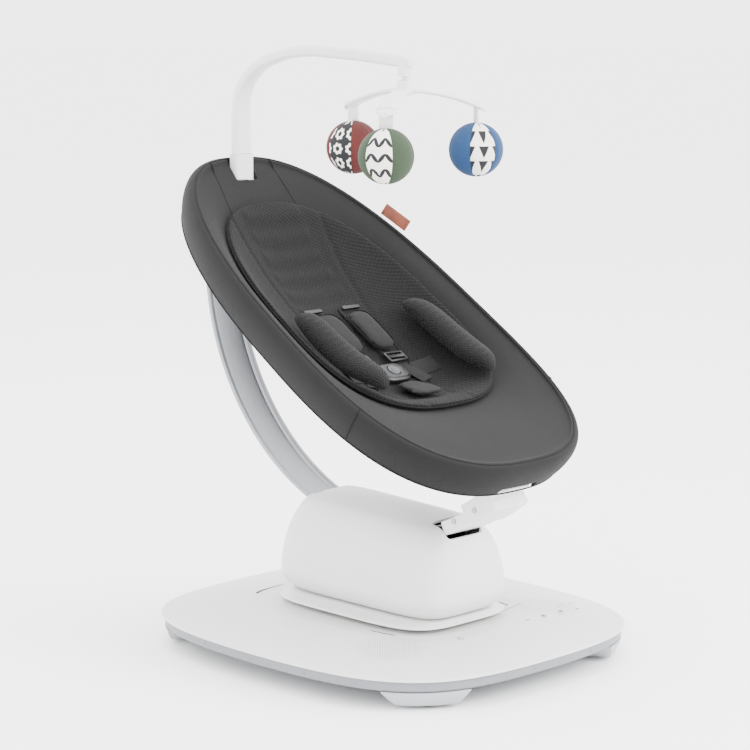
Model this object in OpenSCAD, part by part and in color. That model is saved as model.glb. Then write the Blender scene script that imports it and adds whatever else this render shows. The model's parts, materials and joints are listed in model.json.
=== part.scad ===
// Baby swing: a motor base carries a tower that sways and rises, the tower holds
// a curved bow that slides to recline, and the bow carries an oval fabric seat
// with a harness, a swivelling toy bar and a spinning mobile with three balls.

/* [Base] */
// Width of the base across its bowed sides
base_w = 482; // [440:2:580]
// Depth of the base, front to back
base_d = 542; // [500:2:650]
// How far each side of the base bows outwards
side_bow = 27; // [10:1:35]
// How far the front and the back bow outwards
end_bow = 23; // [10:1:35]
// Height of the rim of the top cover
rim_z = 39; // [36:1:48]
// Height of the lower edge of the grey band
band_z = 21.5; // [18:0.5:24]
// Rise of the cover from its rim to the tower
crown = 14; // [12:1:20]
// Wall of the base mouldings
base_wall = 3; // [2:0.5:4]

/* [Sway drive] */
// Sway travel to each side
sway_travel = 35; // [20:1:45]
// Diameter of the sway rails
rail_d = 8; // [6:0.5:10]
// Distance between the two sway rails
rail_gap = 150; // [120:2:180]
// Gear module of both rack drives
gear_module = 1; // [1:0.5:1]
// Teeth of both drive pinions
pinion_teeth = 20; // [16:1:24]

/* [Tower] */
// Width of the tower at its widest crease
tower_w = 160; // [150:1:192]
// Depth of the tower at its widest crease
tower_d = 288; // [280:1:320]
// Height of the tower's lower edge
tower_low_z = 65; // [63:1:72]
// Height of the tower's top
tower_top_z = 186; // [184:1:196]
// Wall of the tower shell
tower_wall = 3; // [2:0.5:4]
// Lift travel of the tower
lift_travel = 38; // [20:1:42]
// Diameter of the lift posts
post_d = 10; // [8:0.5:12]
// Distance between the lift posts
post_gap = 150; // [130:2:160]

/* [Bow] */
// Outer radius of the bow
bow_r = 319; // [300:1:340]
// Width of the bow
bow_w = 56; // [46:1:66]
// Height of the bow's side lips
bow_t = 8; // [6:0.5:10]
// Height of the bow's centre above the floor
bow_z = 466; // [450:1:480]
// Distance of the bow's centre behind the base centre
bow_y = 1; // [0:0.5:4]

/* [Seat] */
// Length of the seat rim
seat_l = 630; // [560:5:700]
// Width of the seat rim
seat_w = 365; // [320:5:440]
// Tilt of the seat rim from level
seat_tilt = 32.6; // [30:0.1:34]
// Height of the middle of the rim
seat_z = 430; // [420:1:440]
// Distance of the middle of the rim behind the base centre
seat_y = 28.8; // [26:0.1:32]
// Depth of the fabric side wall
skirt_h = 48; // [42:1:56]
// Depth of the seat pocket under the rim
pocket = 70; // [60:1:76]
// Diameter of the tube inside the rim
ring_d = 16; // [13:0.5:18]

/* [Toy bar] */
// Height of the top of the toy bar
bar_top_z = 739; // [720:1:760]
// Width of the toy bar's post
bar_w = 29; // [22:1:32]
// Thickness of the toy bar's post
bar_t = 13; // [10:0.5:15]
// Distance of the post behind the base centre
post_y = 275; // [272:0.5:278]
// Distance of the mobile in front of the base centre
mobile_y = -23; // [-40:1:0]

/* [Mobile] */
// Radius from the mobile's axis to the middle of a ball
ball_ring_r = 90; // [75:1:110]
// Diameter of a ball
ball_d = 67; // [56:1:74]
// Height of the middle of a ball
ball_z = 622; // [610:1:632]
// Width of the ribbon that holds a ball
ribbon_w = 9; // [6:0.5:12]

/* [Hidden] */

// The origin lies on the floor under the middle of the whole swing,
// and the centre of the base lies this far from it.
place_y = -25;
module placed() { translate([0, place_y, 0]) children(); }

fit_gap = 0.3;
slide_gap = 0.05;
plug_gap = 0.1;

// ---- shared shapes ----

// A point of a rounded square of half size 1, in the direction a; p sets how square it is
function square_point(a, p) =
    let (c = cos(a), s = sin(a), r = pow(pow(abs(c), p) + pow(abs(s), p), -1 / p)) [r * c, r * s];

// Triangles between the two long sides of a narrow cap
function strip_cap(n) = [for (i = [0 : n / 2 - 2]) each [[i, i + 1, n - 2 - i], [i, n - 2 - i, n - 1 - i]]];

// A closed solid through rings of equal length, from the first ring's cap to the last one's
module loft(rings, narrow = false) {
    n = len(rings[0]);
    m = len(rings);
    sides = [for (j = [0 : m - 2], i = [0 : n - 1])
        let (k = (i + 1) % n, a = j * n, b = a + n)
            each [[a + i, b + i, b + k], [a + i, b + k, a + k]]];
    start_caps = narrow ? strip_cap(n) : [[for (i = [0 : n - 1]) i]];
    end_caps = [for (c = start_caps) [for (k = [len(c) - 1 : -1 : 0]) (m - 1) * n + c[k]]];
    polyhedron([for (r = rings) each r], concat(sides, start_caps, end_caps), convexity = 8);
}

// A closed tube through rings that join end to end
module ring_tube(rings) {
    n = len(rings[0]);
    m = len(rings);
    polyhedron([for (r = rings) each r], [for (j = [0 : m - 1], i = [0 : n - 1])
        let (k = (i + 1) % n, a = j * n, b = ((j + 1) % m) * n)
            each [[a + i, b + i, b + k], [a + i, b + k, a + k]]], convexity = 8);
}

module rounded_plate(w, d, h, r) {
    linear_extrude(h) rounded_square(w, d, r);
}

module rounded_square(w, d, r) {
    for (x = [-1, 1], y = [-1, 1]) translate([x * (w / 2 - r), y * (d / 2 - r)]) circle(r, $fn = 32);
    square([w - 2 * r, d], center = true);
    square([w, d - 2 * r], center = true);
}

// ---- gears ----

pitch_r = gear_module * pinion_teeth / 2;
pressure = 20;
tooth_gap = 0.12;
base_r = pitch_r * cos(pressure);
tip_r = pitch_r + gear_module * 0.9;
root_r = pitch_r - gear_module * 1.2;
rack_pitch = PI * gear_module;

function inv_at(r) = let (t = acos(base_r / r)) tan(t) * 180 / PI - t;
tooth_half = 90 / pinion_teeth - tooth_gap * 90 / (PI * pitch_r) + inv_at(pitch_r);

// One flank of a pinion tooth from its foot to its tip, on the side given by +1 or -1
function flank(side) = [for (i = [0 : 4])
    let (r = max(base_r + 0.01, root_r) + (tip_r - max(base_r + 0.01, root_r)) * i / 4,
        a = side * (tooth_half - inv_at(r))) [r * cos(a), r * sin(a)]];

function turned(points, a) = [for (q = points) [q.x * cos(a) - q.y * sin(a), q.x * sin(a) + q.y * cos(a)]];
function backwards(points) = [for (i = [len(points) - 1 : -1 : 0]) points[i]];

// A spur pinion with one tooth pointing along +X
module pinion(h, bore) {
    linear_extrude(h) difference() {
        union() {
            circle(root_r, $fn = 60);
            for (i = [0 : pinion_teeth - 1])
                polygon(turned(concat([[root_r - 1, -1]], flank(-1), backwards(flank(1)), [[root_r - 1, 1]]),
                    i * 360 / pinion_teeth));
        }
        circle(bore, $fn = 40);
    }
}

// A rack along X whose teeth point along +Y, with a gap between teeth at x = 0 and its pitch line at y = 0
module rack(teeth, h, back) {
    half = rack_pitch / 4 - tooth_gap / 2;
    slope = tan(pressure);
    linear_extrude(h) {
        translate([-teeth * rack_pitch / 2, -gear_module * 1.25 - back])
            square([teeth * rack_pitch, back]);
        for (i = [0 : teeth - 1]) translate([(i - teeth / 2 + 0.5) * rack_pitch, 0])
            polygon([[-half - slope * gear_module * 1.25, -gear_module * 1.25 - 0.1],
                [half + slope * gear_module * 1.25, -gear_module * 1.25 - 0.1],
                [half - slope * gear_module * 0.9, gear_module * 0.9],
                [-half + slope * gear_module * 0.9, gear_module * 0.9]]);
    }
}

// ---- base ----

outline_steps = 96;
corner_power = 5;

function base_point(a, inset) = let (q = square_point(a, corner_power))
    [q.x * (base_w / 2 - inset - side_bow * q.y * q.y), q.y * (base_d / 2 - inset - end_bow * q.x * q.x)];
function base_ring(inset, z) = [for (i = [0 : outline_steps - 1])
    let (q = base_point(i * 360 / outline_steps, inset)) [q.x, q.y, z]];

band_inset = 4;
belly_z = 9;
belly_inset = 58;
floor_z = belly_z + base_wall;
cover_low_z = rim_z - 4;
cover_top_z = rim_z + crown;
cover_under_z = cover_top_z - base_wall;
band_top_z = cover_low_z - 0.2;

module base_pan() {
    color("darkgray") difference() {
        loft([base_ring(belly_inset + 12, belly_z), base_ring(belly_inset, belly_z + 3),
            base_ring(belly_inset - 6, band_z), base_ring(band_inset + 8, band_z),
            base_ring(band_inset + 1, band_z + 2), base_ring(band_inset, band_top_z),
            base_ring(band_inset + base_wall, band_top_z),
            base_ring(band_inset + base_wall + 1, band_z + base_wall),
            base_ring(belly_inset - 6 + base_wall, band_z + base_wall),
            base_ring(belly_inset + base_wall, floor_z + 2), base_ring(belly_inset + 14, floor_z)]);
        at_sockets() {
            cylinder(h = socket_l + 1, r = power_r + plug_gap, $fn = 48);
            translate([socket_gap, 0, 0]) cylinder(h = socket_l + 1, r = audio_r + plug_gap, $fn = 48);
        }
    }
}

// Distance in from the edge at which the cover is level, and the room that it leaves for the tower
level_inset = 110;
column_w = 36;
column_d = 184;
slot_x = column_w / 2 + sway_travel + 3;
slot_y = column_d / 2 + 3;

module base_cover() {
    inner = base_wall;
    color("whitesmoke") difference() {
        loft([base_ring(level_inset, cover_under_z), base_ring(60, rim_z + crown * 0.55 - inner),
            base_ring(20, rim_z - 0.5), base_ring(inner, rim_z - 3), base_ring(inner, cover_low_z),
            base_ring(0.6, cover_low_z), base_ring(0, cover_low_z + 1.2), base_ring(0.8, rim_z - 0.8),
            base_ring(4, rim_z), base_ring(20, rim_z + crown * 0.16), base_ring(60, rim_z + crown * 0.58),
            base_ring(level_inset, cover_top_z)]);
        translate([-slot_x, -slot_y, 0]) cube([2 * slot_x, 2 * slot_y, 100]);
    }
}

// A leg follows the base outline round one corner and narrows towards the floor
leg_in = 46;
pad_h = 4;
pad_r = 13;
pad_inset = 30;
corner_a = 49;
leg_spread = 13;

function leg_ring(z, outer, spread, depth) = let (steps = 8) concat(
    [for (i = [0 : steps])
        let (q = base_point(corner_a + spread * (2 * i / steps - 1), outer)) [q.x, q.y, z]],
    [for (i = [steps : -1 : 0])
        let (q = base_point(corner_a + spread * (2 * i / steps - 1), outer + depth)) [q.x, q.y, z]]);

module corner_leg(x_side, y_side) {
    color("silver") scale([x_side, y_side, 1])
        loft([leg_ring(pad_h, band_inset + 11, leg_spread - 3, 27),
            leg_ring(pad_h + 4, band_inset + 9.5, leg_spread - 2, 30),
            leg_ring(band_z - 3, band_inset + 6, leg_spread + 1, leg_in - 10),
            leg_ring(band_z, band_inset + 8.5, leg_spread + 3, leg_in - 10)], true);
}
module leg_front_left() { corner_leg(-1, -1); }
module leg_front_right() { corner_leg(1, -1); }
module leg_rear_left() { corner_leg(-1, 1); }
module leg_rear_right() { corner_leg(1, 1); }

pad_at = base_point(corner_a, pad_inset);

module foot_pads() {
    color("dimgray") for (x = [-1, 1], y = [-1, 1]) translate([x * pad_at.x, y * pad_at.y, 0])
        cylinder(h = pad_h, r = pad_r, $fn = 48);
}

module base_screws() {
    screw_r = 3;
    color("gray") for (x = [-1, 1], y = [-1, 1])
        translate([x * (base_w / 2 - 120), y * (base_d / 2 - 110), belly_z - 1.5])
            cylinder(h = 1.5, r = screw_r, $fn = 32);
}

// ---- sway drive ----

rail_z = 26;
rail_half = 150;
mount_t = 12;
frame_low_z = 19;
frame_top_z = 33;
frame_w = 90;
frame_d = 196;
bush_wall = 2;
sway_rack_y = -frame_d / 2 - 10;
sway_pinion_y = sway_rack_y - pitch_r;
shaft_r = 2;

module sway_rails() {
    color("silver") for (y = [-1, 1]) translate([-rail_half, y * rail_gap / 2, rail_z])
        rotate([0, 90, 0]) cylinder(h = 2 * rail_half, r = rail_d / 2, $fn = 48);
}

module rail_mounts() {
    color("dimgray") for (x = [-1, 1], y = [-1, 1])
        translate([x * (rail_half - mount_t / 2), y * rail_gap / 2, 0])
        difference() {
            translate([-mount_t / 2, -11, floor_z]) cube([mount_t, 22, rail_z + 8 - floor_z]);
            translate([-mount_t, 0, rail_z]) rotate([0, 90, 0])
                cylinder(h = 2 * mount_t, r = rail_d / 2 + slide_gap, $fn = 48);
        }
}

module sway_motor() {
    color("dimgray") translate([0, sway_pinion_y, 0]) {
        translate([-23, -23, floor_z]) rounded_plate_at(46, 22 - frame_d / 2 - sway_pinion_y, 12, 6);
        translate([0, 0, floor_z + 12]) cylinder(h = 9, r = shaft_r, $fn = 40);
    }
}

module rounded_plate_at(w, d, h, r) {
    translate([w / 2, d / 2, 0]) rounded_plate(w, d, h, r);
}

module sway_pinion() {
    color("ivory") translate([0, sway_pinion_y, frame_top_z - 7.5])
        rotate([0, 0, 90]) pinion(7, shaft_r + slide_gap);
}

module sway_rack() {
    teeth = ceil((2 * sway_travel + 24) / rack_pitch / 2) * 2;
    color("ivory") translate([0, sway_rack_y, frame_top_z - 7.5]) mirror([0, 1, 0])
        rack(teeth, 7, 10 - gear_module * 1.25 - fit_gap);
}

module carriage_frame() {
    wall = 4;
    color("gainsboro") difference() {
        union() {
            translate([-frame_w / 2, -frame_d / 2, frame_low_z])
                cube([frame_w, frame_d, frame_top_z - frame_low_z]);
            translate([-column_w / 2, -column_d / 2, frame_top_z - 1])
                cube([column_w, column_d, deck_low_z - frame_top_z + 1]);
        }
        translate([-column_w / 2 + wall, -motor_room / 2, frame_low_z - 1])
            cube([column_w - 2 * wall, motor_room, 60]);
        for (y = [-1, 1]) translate([-frame_w, y * rail_gap / 2, rail_z]) rotate([0, 90, 0])
            cylinder(h = 2 * frame_w, r = rail_d / 2 + bush_wall + slide_gap, $fn = 48);
        for (y = [-1, 1]) translate([0, y * post_gap / 2, frame_top_z + 2])
            cylinder(h = 60, r = post_d / 2 + slide_gap, $fn = 48);
    }
}

module rail_bushes() {
    bush_l = 16;
    color("tan") for (x = [-1, 1], y = [-1, 1])
        translate([x * (frame_w / 2 - bush_l / 2) - bush_l / 2, y * rail_gap / 2, rail_z]) rotate([0, 90, 0])
            difference() {
                cylinder(h = bush_l, r = rail_d / 2 + bush_wall, $fn = 48);
                translate([0, 0, -1]) cylinder(h = bush_l + 2, r = rail_d / 2 + slide_gap, $fn = 48);
            }
}

// ---- slot cover and column ----

deck_low_z = cover_top_z + 4;
deck_edge_z = cover_top_z + 0.8;
deck_top_z = tower_low_z - 2;
deck_w = 188;
deck_d = 276;
motor_room = 120;

function round_ring(w, d, z, p, y = 0) = [for (i = [0 : 71])
    let (q = square_point(i * 5, p)) [q.x * w / 2, y + q.y * d / 2, z]];

module slot_cover() {
    color("whitesmoke") difference() {
        loft([round_ring(140, 262, deck_low_z, 5), round_ring(deck_w - 6, deck_d - 6, deck_edge_z, 4.4),
            round_ring(deck_w, deck_d, deck_edge_z, 4.4), round_ring(deck_w, deck_d, deck_edge_z + 2, 4.4),
            round_ring(deck_w - 5, deck_d - 4, deck_edge_z + 3.4, 4.4),
            round_ring(150, 266, deck_top_z - 2, 5), round_ring(132, 256, deck_top_z, 5)]);
        translate([-column_w / 2 + 4, -motor_room / 2, 0]) cube([column_w - 8, motor_room, 100]);
        for (y = [-1, 1]) translate([0, y * post_gap / 2, 0])
            cylinder(h = 100, r = post_d / 2 + plug_gap, $fn = 48);
    }
}

sleeve_w = tower_w - 48;
sleeve_d = tower_d - 52;
sleeve_h = lift_travel + 8;

module inner_column() {
    color("gainsboro") translate([0, 0, deck_top_z]) linear_extrude(sleeve_h) difference() {
        rounded_square(sleeve_w, sleeve_d, 16);
        rounded_square(sleeve_w - 5, sleeve_d - 5, 13.5);
    }
}

post_top_z = 136;

module lift_posts() {
    color("silver") for (y = [-1, 1]) translate([0, y * post_gap / 2, frame_top_z + 2])
        cylinder(h = post_top_z - frame_top_z - 2, r = post_d / 2, $fn = 48);
}

// The lift pinion turns about an axis along Y
lift_pinion_z = deck_top_z + 22;
lift_rack_x = -1;
lift_pinion_x = lift_rack_x + pitch_r;

module lift_motor() {
    color("dimgray") {
        translate([lift_pinion_x - 12, 9, deck_top_z]) rounded_plate_at(38, 46, 36, 4);
        translate([lift_pinion_x, 9, lift_pinion_z]) rotate([90, 0, 0])
            cylinder(h = 15, r = shaft_r, $fn = 40);
    }
}

module lift_pinion() {
    color("ivory") translate([lift_pinion_x, 4.5, lift_pinion_z]) rotate([90, 0, 0])
        rotate([0, 0, 180]) pinion(9, shaft_r + slide_gap);
}

module lift_rack() {
    rack_low_z = lift_pinion_z - lift_travel - 8;
    teeth = ceil((head_low_z - rack_low_z) / rack_pitch / 2) * 2;
    shift = round((head_low_z - teeth * rack_pitch / 2 - lift_pinion_z) / rack_pitch) * rack_pitch;
    color("ivory") difference() {
        translate([lift_rack_x, 4.5, lift_pinion_z + shift]) rotate([90, 0, 0]) rotate([0, 0, -90])
            rack(teeth, 9, 6);
        translate([-50, -50, head_low_z]) cube(100);
    }
}

// ---- tower ----

head_low_z = 122;
head_t = 8;
bush_l = 30;
tower_power = 5.2;

// Half width and half depth of the tower along its height, from the lower edge to the top
tower_levels = [[0, 0.825, 0.903], [0.05, 0.92, 0.958], [0.11, 0.975, 0.985], [0.18, 1, 1],
    [0.34, 0.985, 0.992], [0.52, 0.935, 0.97], [0.7, 0.84, 0.93], [0.83, 0.72, 0.885],
    [0.9, 0.63, 0.85], [0.95, 0.53, 0.8], [0.985, 0.36, 0.7]];
tower_h = tower_top_z - tower_low_z;
front_drop = 9;

function tower_ring(level, inset, lift) = [for (i = [0 : 71])
    let (q = square_point(i * 5, tower_power), drop = front_drop * pow(level[0], 3))
        [q.x * (tower_w / 2 * level[1] - inset), q.y * (tower_d / 2 * level[2] - inset),
            tower_low_z + tower_h * level[0] + lift + drop * (q.y * 0.5 - 0.25)]];

module tower_shell() {
    last = len(tower_levels) - 1;
    t = tower_wall;
    color("whitesmoke") difference() {
        loft(concat([for (i = [last : -1 : 1]) tower_ring(tower_levels[i], t, -t * (i > 6 ? 1 : 0.4))],
            [tower_ring(tower_levels[0], t, 0)], [for (i = [0 : last]) tower_ring(tower_levels[i], 0, 0)]));
        for (y = [-1, 1]) translate([-clip_half - 1, y > 0 ? bow_gate_y : -bow_gate_y - 60, bow_gate_z])
            cube([2 * clip_half + 2, 60, 60]);
        translate([-lever_w / 2 - 1, tower_d / 2 - 30, lever_z - 6]) cube([lever_w + 2, 60, 20]);
    }
}

// A band about the bow's centre, between two radii and two angles from +Y
module bow_path(half_w, r_in, r_out, a0, a1) {
    translate([0, bow_y, bow_z]) rotate([0, 90, 0]) rotate([0, 0, 90]) rotate([0, 0, a0])
        rotate_extrude(angle = a1 - a0, $fn = 180) translate([r_in, -half_w])
            square([r_out - r_in, 2 * half_w]);
}

glide_a = 16;
// Half width of the clips at the bow's ends
clip_half = bow_w / 2 + 2.5;
bow_gate_y = 98;
bow_gate_z = bow_z - bow_r + 13;

module head_frame() {
    bush_r = post_d / 2 + bush_wall;
    width = 2 * (tower_w / 2 * 0.8) - 22;
    color("gainsboro") difference() {
        union() {
            translate([-width / 2, -92, head_low_z]) cube([width, 184, head_t]);
            for (y = [-1, 1]) translate([0, y * post_gap / 2, head_low_z - bush_l + head_t])
                cylinder(h = bush_l, r = bush_r + 4, $fn = 48);
            for (x = [-1, 1], y = [-1, 1]) translate([x * 36 - 4, y * 78 - 11, head_low_z])
                cube([8, 22, 42]);
        }
        for (y = [-1, 1]) translate([0, y * post_gap / 2, 0])
            cylinder(h = 200, r = bush_r + slide_gap, $fn = 48);
        bow_path(bow_w / 2 + 1.5, bow_r - 60, bow_r + 3.2, -180, 0);
    }
}

module lift_bushes() {
    color("tan") for (y = [-1, 1]) translate([0, y * post_gap / 2, head_low_z - bush_l + head_t])
        difference() {
            cylinder(h = bush_l, r = post_d / 2 + bush_wall, $fn = 48);
            translate([0, 0, -1]) cylinder(h = bush_l + 2, r = post_d / 2 + slide_gap, $fn = 48);
        }
}

// Low-friction pads that the bow slides on, under it and over its lips
module bow_glides() {
    over = bow_r - bow_t;
    color("tan") for (side = [-1, 1]) {
        low_a = -90 + side * glide_a;
        lip_a = -90 + side * (glide_a - 2);
        bow_path(bow_w / 2 - 6, bow_r + fit_gap, bow_r + 3.2, low_a - 3, low_a + 3);
        for (x = [-1, 1]) translate([x * (bow_w / 2 - 1), 0, 0])
            bow_path(2.4, over - 4, over - fit_gap, lip_a - 2, lip_a + 2);
    }
}

lever_w = 34;
lever_z = 120;
lever_y = tower_d / 2 - 16;

module lock_lever() {
    color("gray") {
        translate([-lever_w / 2, lever_y, lever_z]) rotate([0, 90, 0]) cylinder(h = lever_w, r = 4, $fn = 40);
        translate([-lever_w / 2, lever_y, lever_z - 3]) cube([lever_w, 22, 5]);
    }
}

// ---- bow ----

bow_head_a = 15;
bow_foot_a = -126;

module bow_rail() {
    floor_t = 3.5;
    half = bow_w / 2;
    color("silver") translate([0, bow_y, bow_z]) rotate([0, 90, 0]) rotate([0, 0, 90 + bow_foot_a])
        rotate_extrude(angle = bow_head_a - bow_foot_a, $fn = 180)
            polygon([[bow_r - bow_t, -half + 1], [bow_r - bow_t + 1, -half], [bow_r - 2, -half],
                [bow_r, -half + 3], [bow_r, half - 3], [bow_r - 2, half],
                [bow_r - bow_t + 1, half], [bow_r - bow_t, half - 1],
                [bow_r - bow_t, half - 5], [bow_r - floor_t, half - 12], [bow_r - floor_t, -half + 12],
                [bow_r - bow_t, -half + 5]]);
}

clip_steps = 5;
function arc(r, a0, a1) = [for (i = [0 : clip_steps])
    let (a = a0 + (a1 - a0) * i / clip_steps) [r * cos(a), r * sin(a)]];

// A clip's side outline from bands that follow each other round the bow: [angle, angle, inner, outer radius]
module clip_body(bands) {
    last = len(bands) - 1;
    outer = [for (b = bands) each arc(b[3], b[0], b[1])];
    inner = [for (i = [last : -1 : 0]) each arc(bands[i][2], bands[i][1], bands[i][0])];
    translate([0, bow_y, bow_z]) rotate([0, 90, 0]) rotate([0, 0, 90]) translate([0, 0, -clip_half])
        linear_extrude(2 * clip_half) polygon(concat(outer, inner));
}

module head_clip() {
    color("whitesmoke") difference() {
        clip_body([[7, bow_head_a + 1, bow_r - bow_t - 8, bow_r + 1.5],
            [bow_head_a + 1, ring_a_head - 1, bow_r - 16, bow_r - 3]]);
        bow_path(bow_w / 2 + plug_gap, bow_r - bow_t - plug_gap, bow_r + plug_gap, 0, bow_head_a + 0.05);
        ring_saddle(1);
    }
}

module foot_clip() {
    color("whitesmoke") difference() {
        clip_body([[ring_a_foot + 1, -131, bow_r - 25, bow_r - 13], [-131, -128.5, bow_r - 20, bow_r - 7.5],
            [-128.5, -119.5, bow_r - 20, bow_r + 8], [-119.5, -112, bow_r - bow_t - 3, bow_r + 6]]);
        bow_path(bow_w / 2 + plug_gap, bow_r - bow_t - plug_gap, bow_r + plug_gap, bow_foot_a - 0.05, -100);
        ring_saddle(-1);
    }
}

module clip_screws() {
    head_r = 3.5;
    color("gray") for (x = [-1, 1], a = [10, -116, -123]) translate([0, bow_y, bow_z]) rotate([a, 0, 0])
        translate([x * clip_half, bow_r - bow_t / 2 + (a > 0 ? -8 : -2), 0]) rotate([0, x * 90, 0])
            cylinder(h = 1.2, r = head_r, $fn = 32);
}

// ---- seat ----
// Seat pieces are drawn flat, with +Y towards the head and +Z up out of the rim's plane

module in_seat() {
    translate([0, seat_y, seat_z]) rotate([seat_tilt, 0, 0]) children();
}

seat_steps = 72;
seat_power = 2.57;
head_taper = 0.12;

function power_of(v, p) = sign(v) * pow(abs(v), p);
function seat_bend(y) = let (q = y / (seat_l / 2)) 8 * (q * q - 0.5) - 2.7 * (q * q * q - 0.75 * q);
function taper(v) = 1 - head_taper * v + 0.03 * (v * v - 0.5);

// One oval about the seat: half width w, ends at low and high along Y, depth n from the rim's plane
function oval(w, low, high, n) = [for (i = [0 : seat_steps - 1])
    let (a = i * 360 / seat_steps, mid = (low + high) / 2,
        y = mid + power_of(sin(a), 2 / seat_power) * (high - low) / 2)
        [power_of(cos(a), 2 / seat_power) * w * taper(sin(a)), y, n + seat_bend(y)]];

function rim_oval(inset, n) = oval(seat_w / 2 - inset, inset - seat_l / 2, seat_l / 2 - inset, n);

// The pocket's levels: share of the half width, low end and high end as shares of the half length,
// and share of the pocket's depth
levels = [[0.94, -0.95, 0.95, 0.05], [0.83, -0.72, 0.86, 0.16], [0.74, -0.54, 0.73, 0.36],
    [0.63, -0.46, 0.6, 0.6], [0.48, -0.39, 0.46, 0.81], [0.31, -0.3, 0.32, 0.94], [0.12, -0.14, 0.17, 1]];

function level_oval(k, n) = let (v = levels[k])
    oval(v[0] * seat_w / 2, v[1] * seat_l / 2, v[2] * seat_l / 2, n - v[3] * pocket);

// How far out a point lies on a level's oval, where 1 is on it
function level_reach(k, x, y) = let (v = levels[k], mid = (v[1] + v[2]) * seat_l / 4,
    half = (v[2] - v[1]) * seat_l / 4,
    t = (y - mid) / half, w = v[0] * seat_w / 2 * taper(min(1, max(-1, t))))
        pow(pow(abs(x) / w, seat_power) + pow(abs(t), seat_power), 1 / seat_power);

// Depth of the pocket's surface under a point
function pocket_n(x, y, k = 0) = let (out = level_reach(k + 1, x, y), inner = level_reach(k, x, y),
    f = (1 - inner) / (out - inner), here = levels[k][3], next = levels[k + 1][3])
        k == len(levels) - 2 || out > 1
            ? -pocket * (here + (next - here) * min(1, max(0, f))) + seat_bend(y)
            : pocket_n(x, y, k + 1);

cover_t = 8;
liner_t = 11;
soft_gap = 0.8;
liner_first = 2;
liner_up = soft_gap + liner_t;

// The tube inside the rim
tube_inset = ring_d / 2 + 7.5;
tube_n = -ring_d / 2 - 15.5;
tube_mid = rim_oval(tube_inset, tube_n);
tube_end_y = seat_l / 2 - tube_inset;

function tube_around(i) = let (before = tube_mid[(i + seat_steps - 1) % seat_steps],
    after = tube_mid[(i + 1) % seat_steps], along = (after - before) / norm(after - before),
    up = [0, 0, 1], side = cross(up, along) / norm(cross(up, along)), lift = cross(along, side))
        [for (j = [0 : 9]) tube_mid[i] + ring_d / 2 * (cos(j * 36) * side + sin(j * 36) * lift)];

module seat_ring() {
    color("silver") in_seat() ring_tube([for (i = [0 : seat_steps - 1]) tube_around(i)]);
}

// Angles about the bow's centre at which the tube crosses the middle of the bow
function from_seat(y, n) = [seat_y + y * cos(seat_tilt) - n * sin(seat_tilt) - bow_y,
    seat_z + y * sin(seat_tilt) + n * cos(seat_tilt) - bow_z];
tube_head = from_seat(tube_end_y, tube_n + seat_bend(tube_end_y));
tube_foot = from_seat(-tube_end_y, tube_n + seat_bend(-tube_end_y));
ring_a_head = atan2(tube_head.y, tube_head.x);
ring_a_foot = atan2(tube_foot.y, tube_foot.x);

// Room in a clip for the tube, with slack for the tube's curve across the clip's width
saddle_slack = 2;

module ring_saddle(end) {
    in_seat() translate([-50, end * tube_end_y, tube_n + seat_bend(end * tube_end_y)]) rotate([0, 90, 0])
        cylinder(h = 100, r = ring_d / 2 + saddle_slack, $fn = 64);
}

module seat_cover() {
    last = len(levels) - 1;
    t = cover_t;
    wall = 2.6;
    tuck = 8;
    color("dimgray") difference() {
        in_seat() loft(concat([for (k = [last : -1 : 1]) level_oval(k, -t)],
            [rim_oval(24, -t - 5), rim_oval(5, -t - 3), rim_oval(tuck + wall, -skirt_h),
                rim_oval(tuck, -skirt_h), rim_oval(2, -skirt_h * 0.4), rim_oval(0, -4), rim_oval(1, -1),
                rim_oval(4, 0), rim_oval(8, -1.5)],
            [for (k = [0 : last]) level_oval(k, 0)]));
        in_seat() for (end = [-1, 1]) translate([-clip_half - 1.5, end * seat_l / 2 - 30, -skirt_h - 8])
            cube([2 * clip_half + 3, 60, 24]);
        translate([-socket_w / 2 - soft_gap, post_y - socket_d / 2 - soft_gap, seat_z])
            cube([socket_w + 2 * soft_gap, socket_d + 2 * soft_gap, 400]);
    }
}

module seat_liner() {
    last = len(levels) - 1;
    up = liner_up;
    color("dimgray") in_seat() loft(concat([for (k = [last : -1 : liner_first]) level_oval(k, soft_gap)],
        [for (k = [liner_first : last]) level_oval(k, k == liner_first ? soft_gap + 5 : up)]));
}

// A puffy side pad: an oval tube laid along the pocket's side, narrow at its ends
bolster_l = 170;
bolster_x = 92;
bolster_r = 13;

function bolster_ring(side, t) = let (y = -140 + bolster_l * t,
    r = bolster_r * sqrt(max(0.06, 1 - pow(2 * t - 1, 4))),
    x = bolster_x + 6 * sin(180 * t), n = pocket_n(x + 10, y) + liner_up + r + 3)
        [for (j = [0 : 11]) [side * x + cos(j * 30) * r * 1.2, y, n + sin(j * 30) * r]];

module bolster(side) {
    color("dimgray") in_seat() loft([for (i = [0 : 12]) backwards(bolster_ring(side, i / 12))]);
}
module bolster_left() { bolster(-1); }
module bolster_right() { bolster(1); }

// ---- harness ----

// Height that clears the liner under a flat piece of width w and length l, tilted by a slope along Y
function clear_n(x, y, w, l, slope) = max([for (i = [-1, 0, 1], j = [-1, -0.5, 0, 0.5, 1])
    pocket_n(x + i * w / 2, y + j * l / 2) - slope * j * l / 2]) + liner_up + soft_gap;
function slope_of(x, y, l) = (pocket_n(x, y + l / 2) - pocket_n(x, y - l / 2)) / l;

// Places a flat piece on the liner, raised by extra, with its underside on the liner's surface
module on_liner(x, y, w, l, extra = 0) {
    slope = slope_of(x, y, l);
    in_seat() translate([x, y, clear_n(x, y, w, l, slope) + extra]) rotate([atan(slope), 0, 0]) children();
}

strap_t = 1.6;
strap_w = 25;
pad_w = 44;
pad_l = 76;
pad_t = 9;
pad_x = 27;
pad_y = 8;
waist_x = 60;
waist_y = -68;
waist_l = 34;
adjust_x = 30;
adjust_y = -43;
buckle_y = -72;
buckle_t = 10;
crotch_y = -118;

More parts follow.
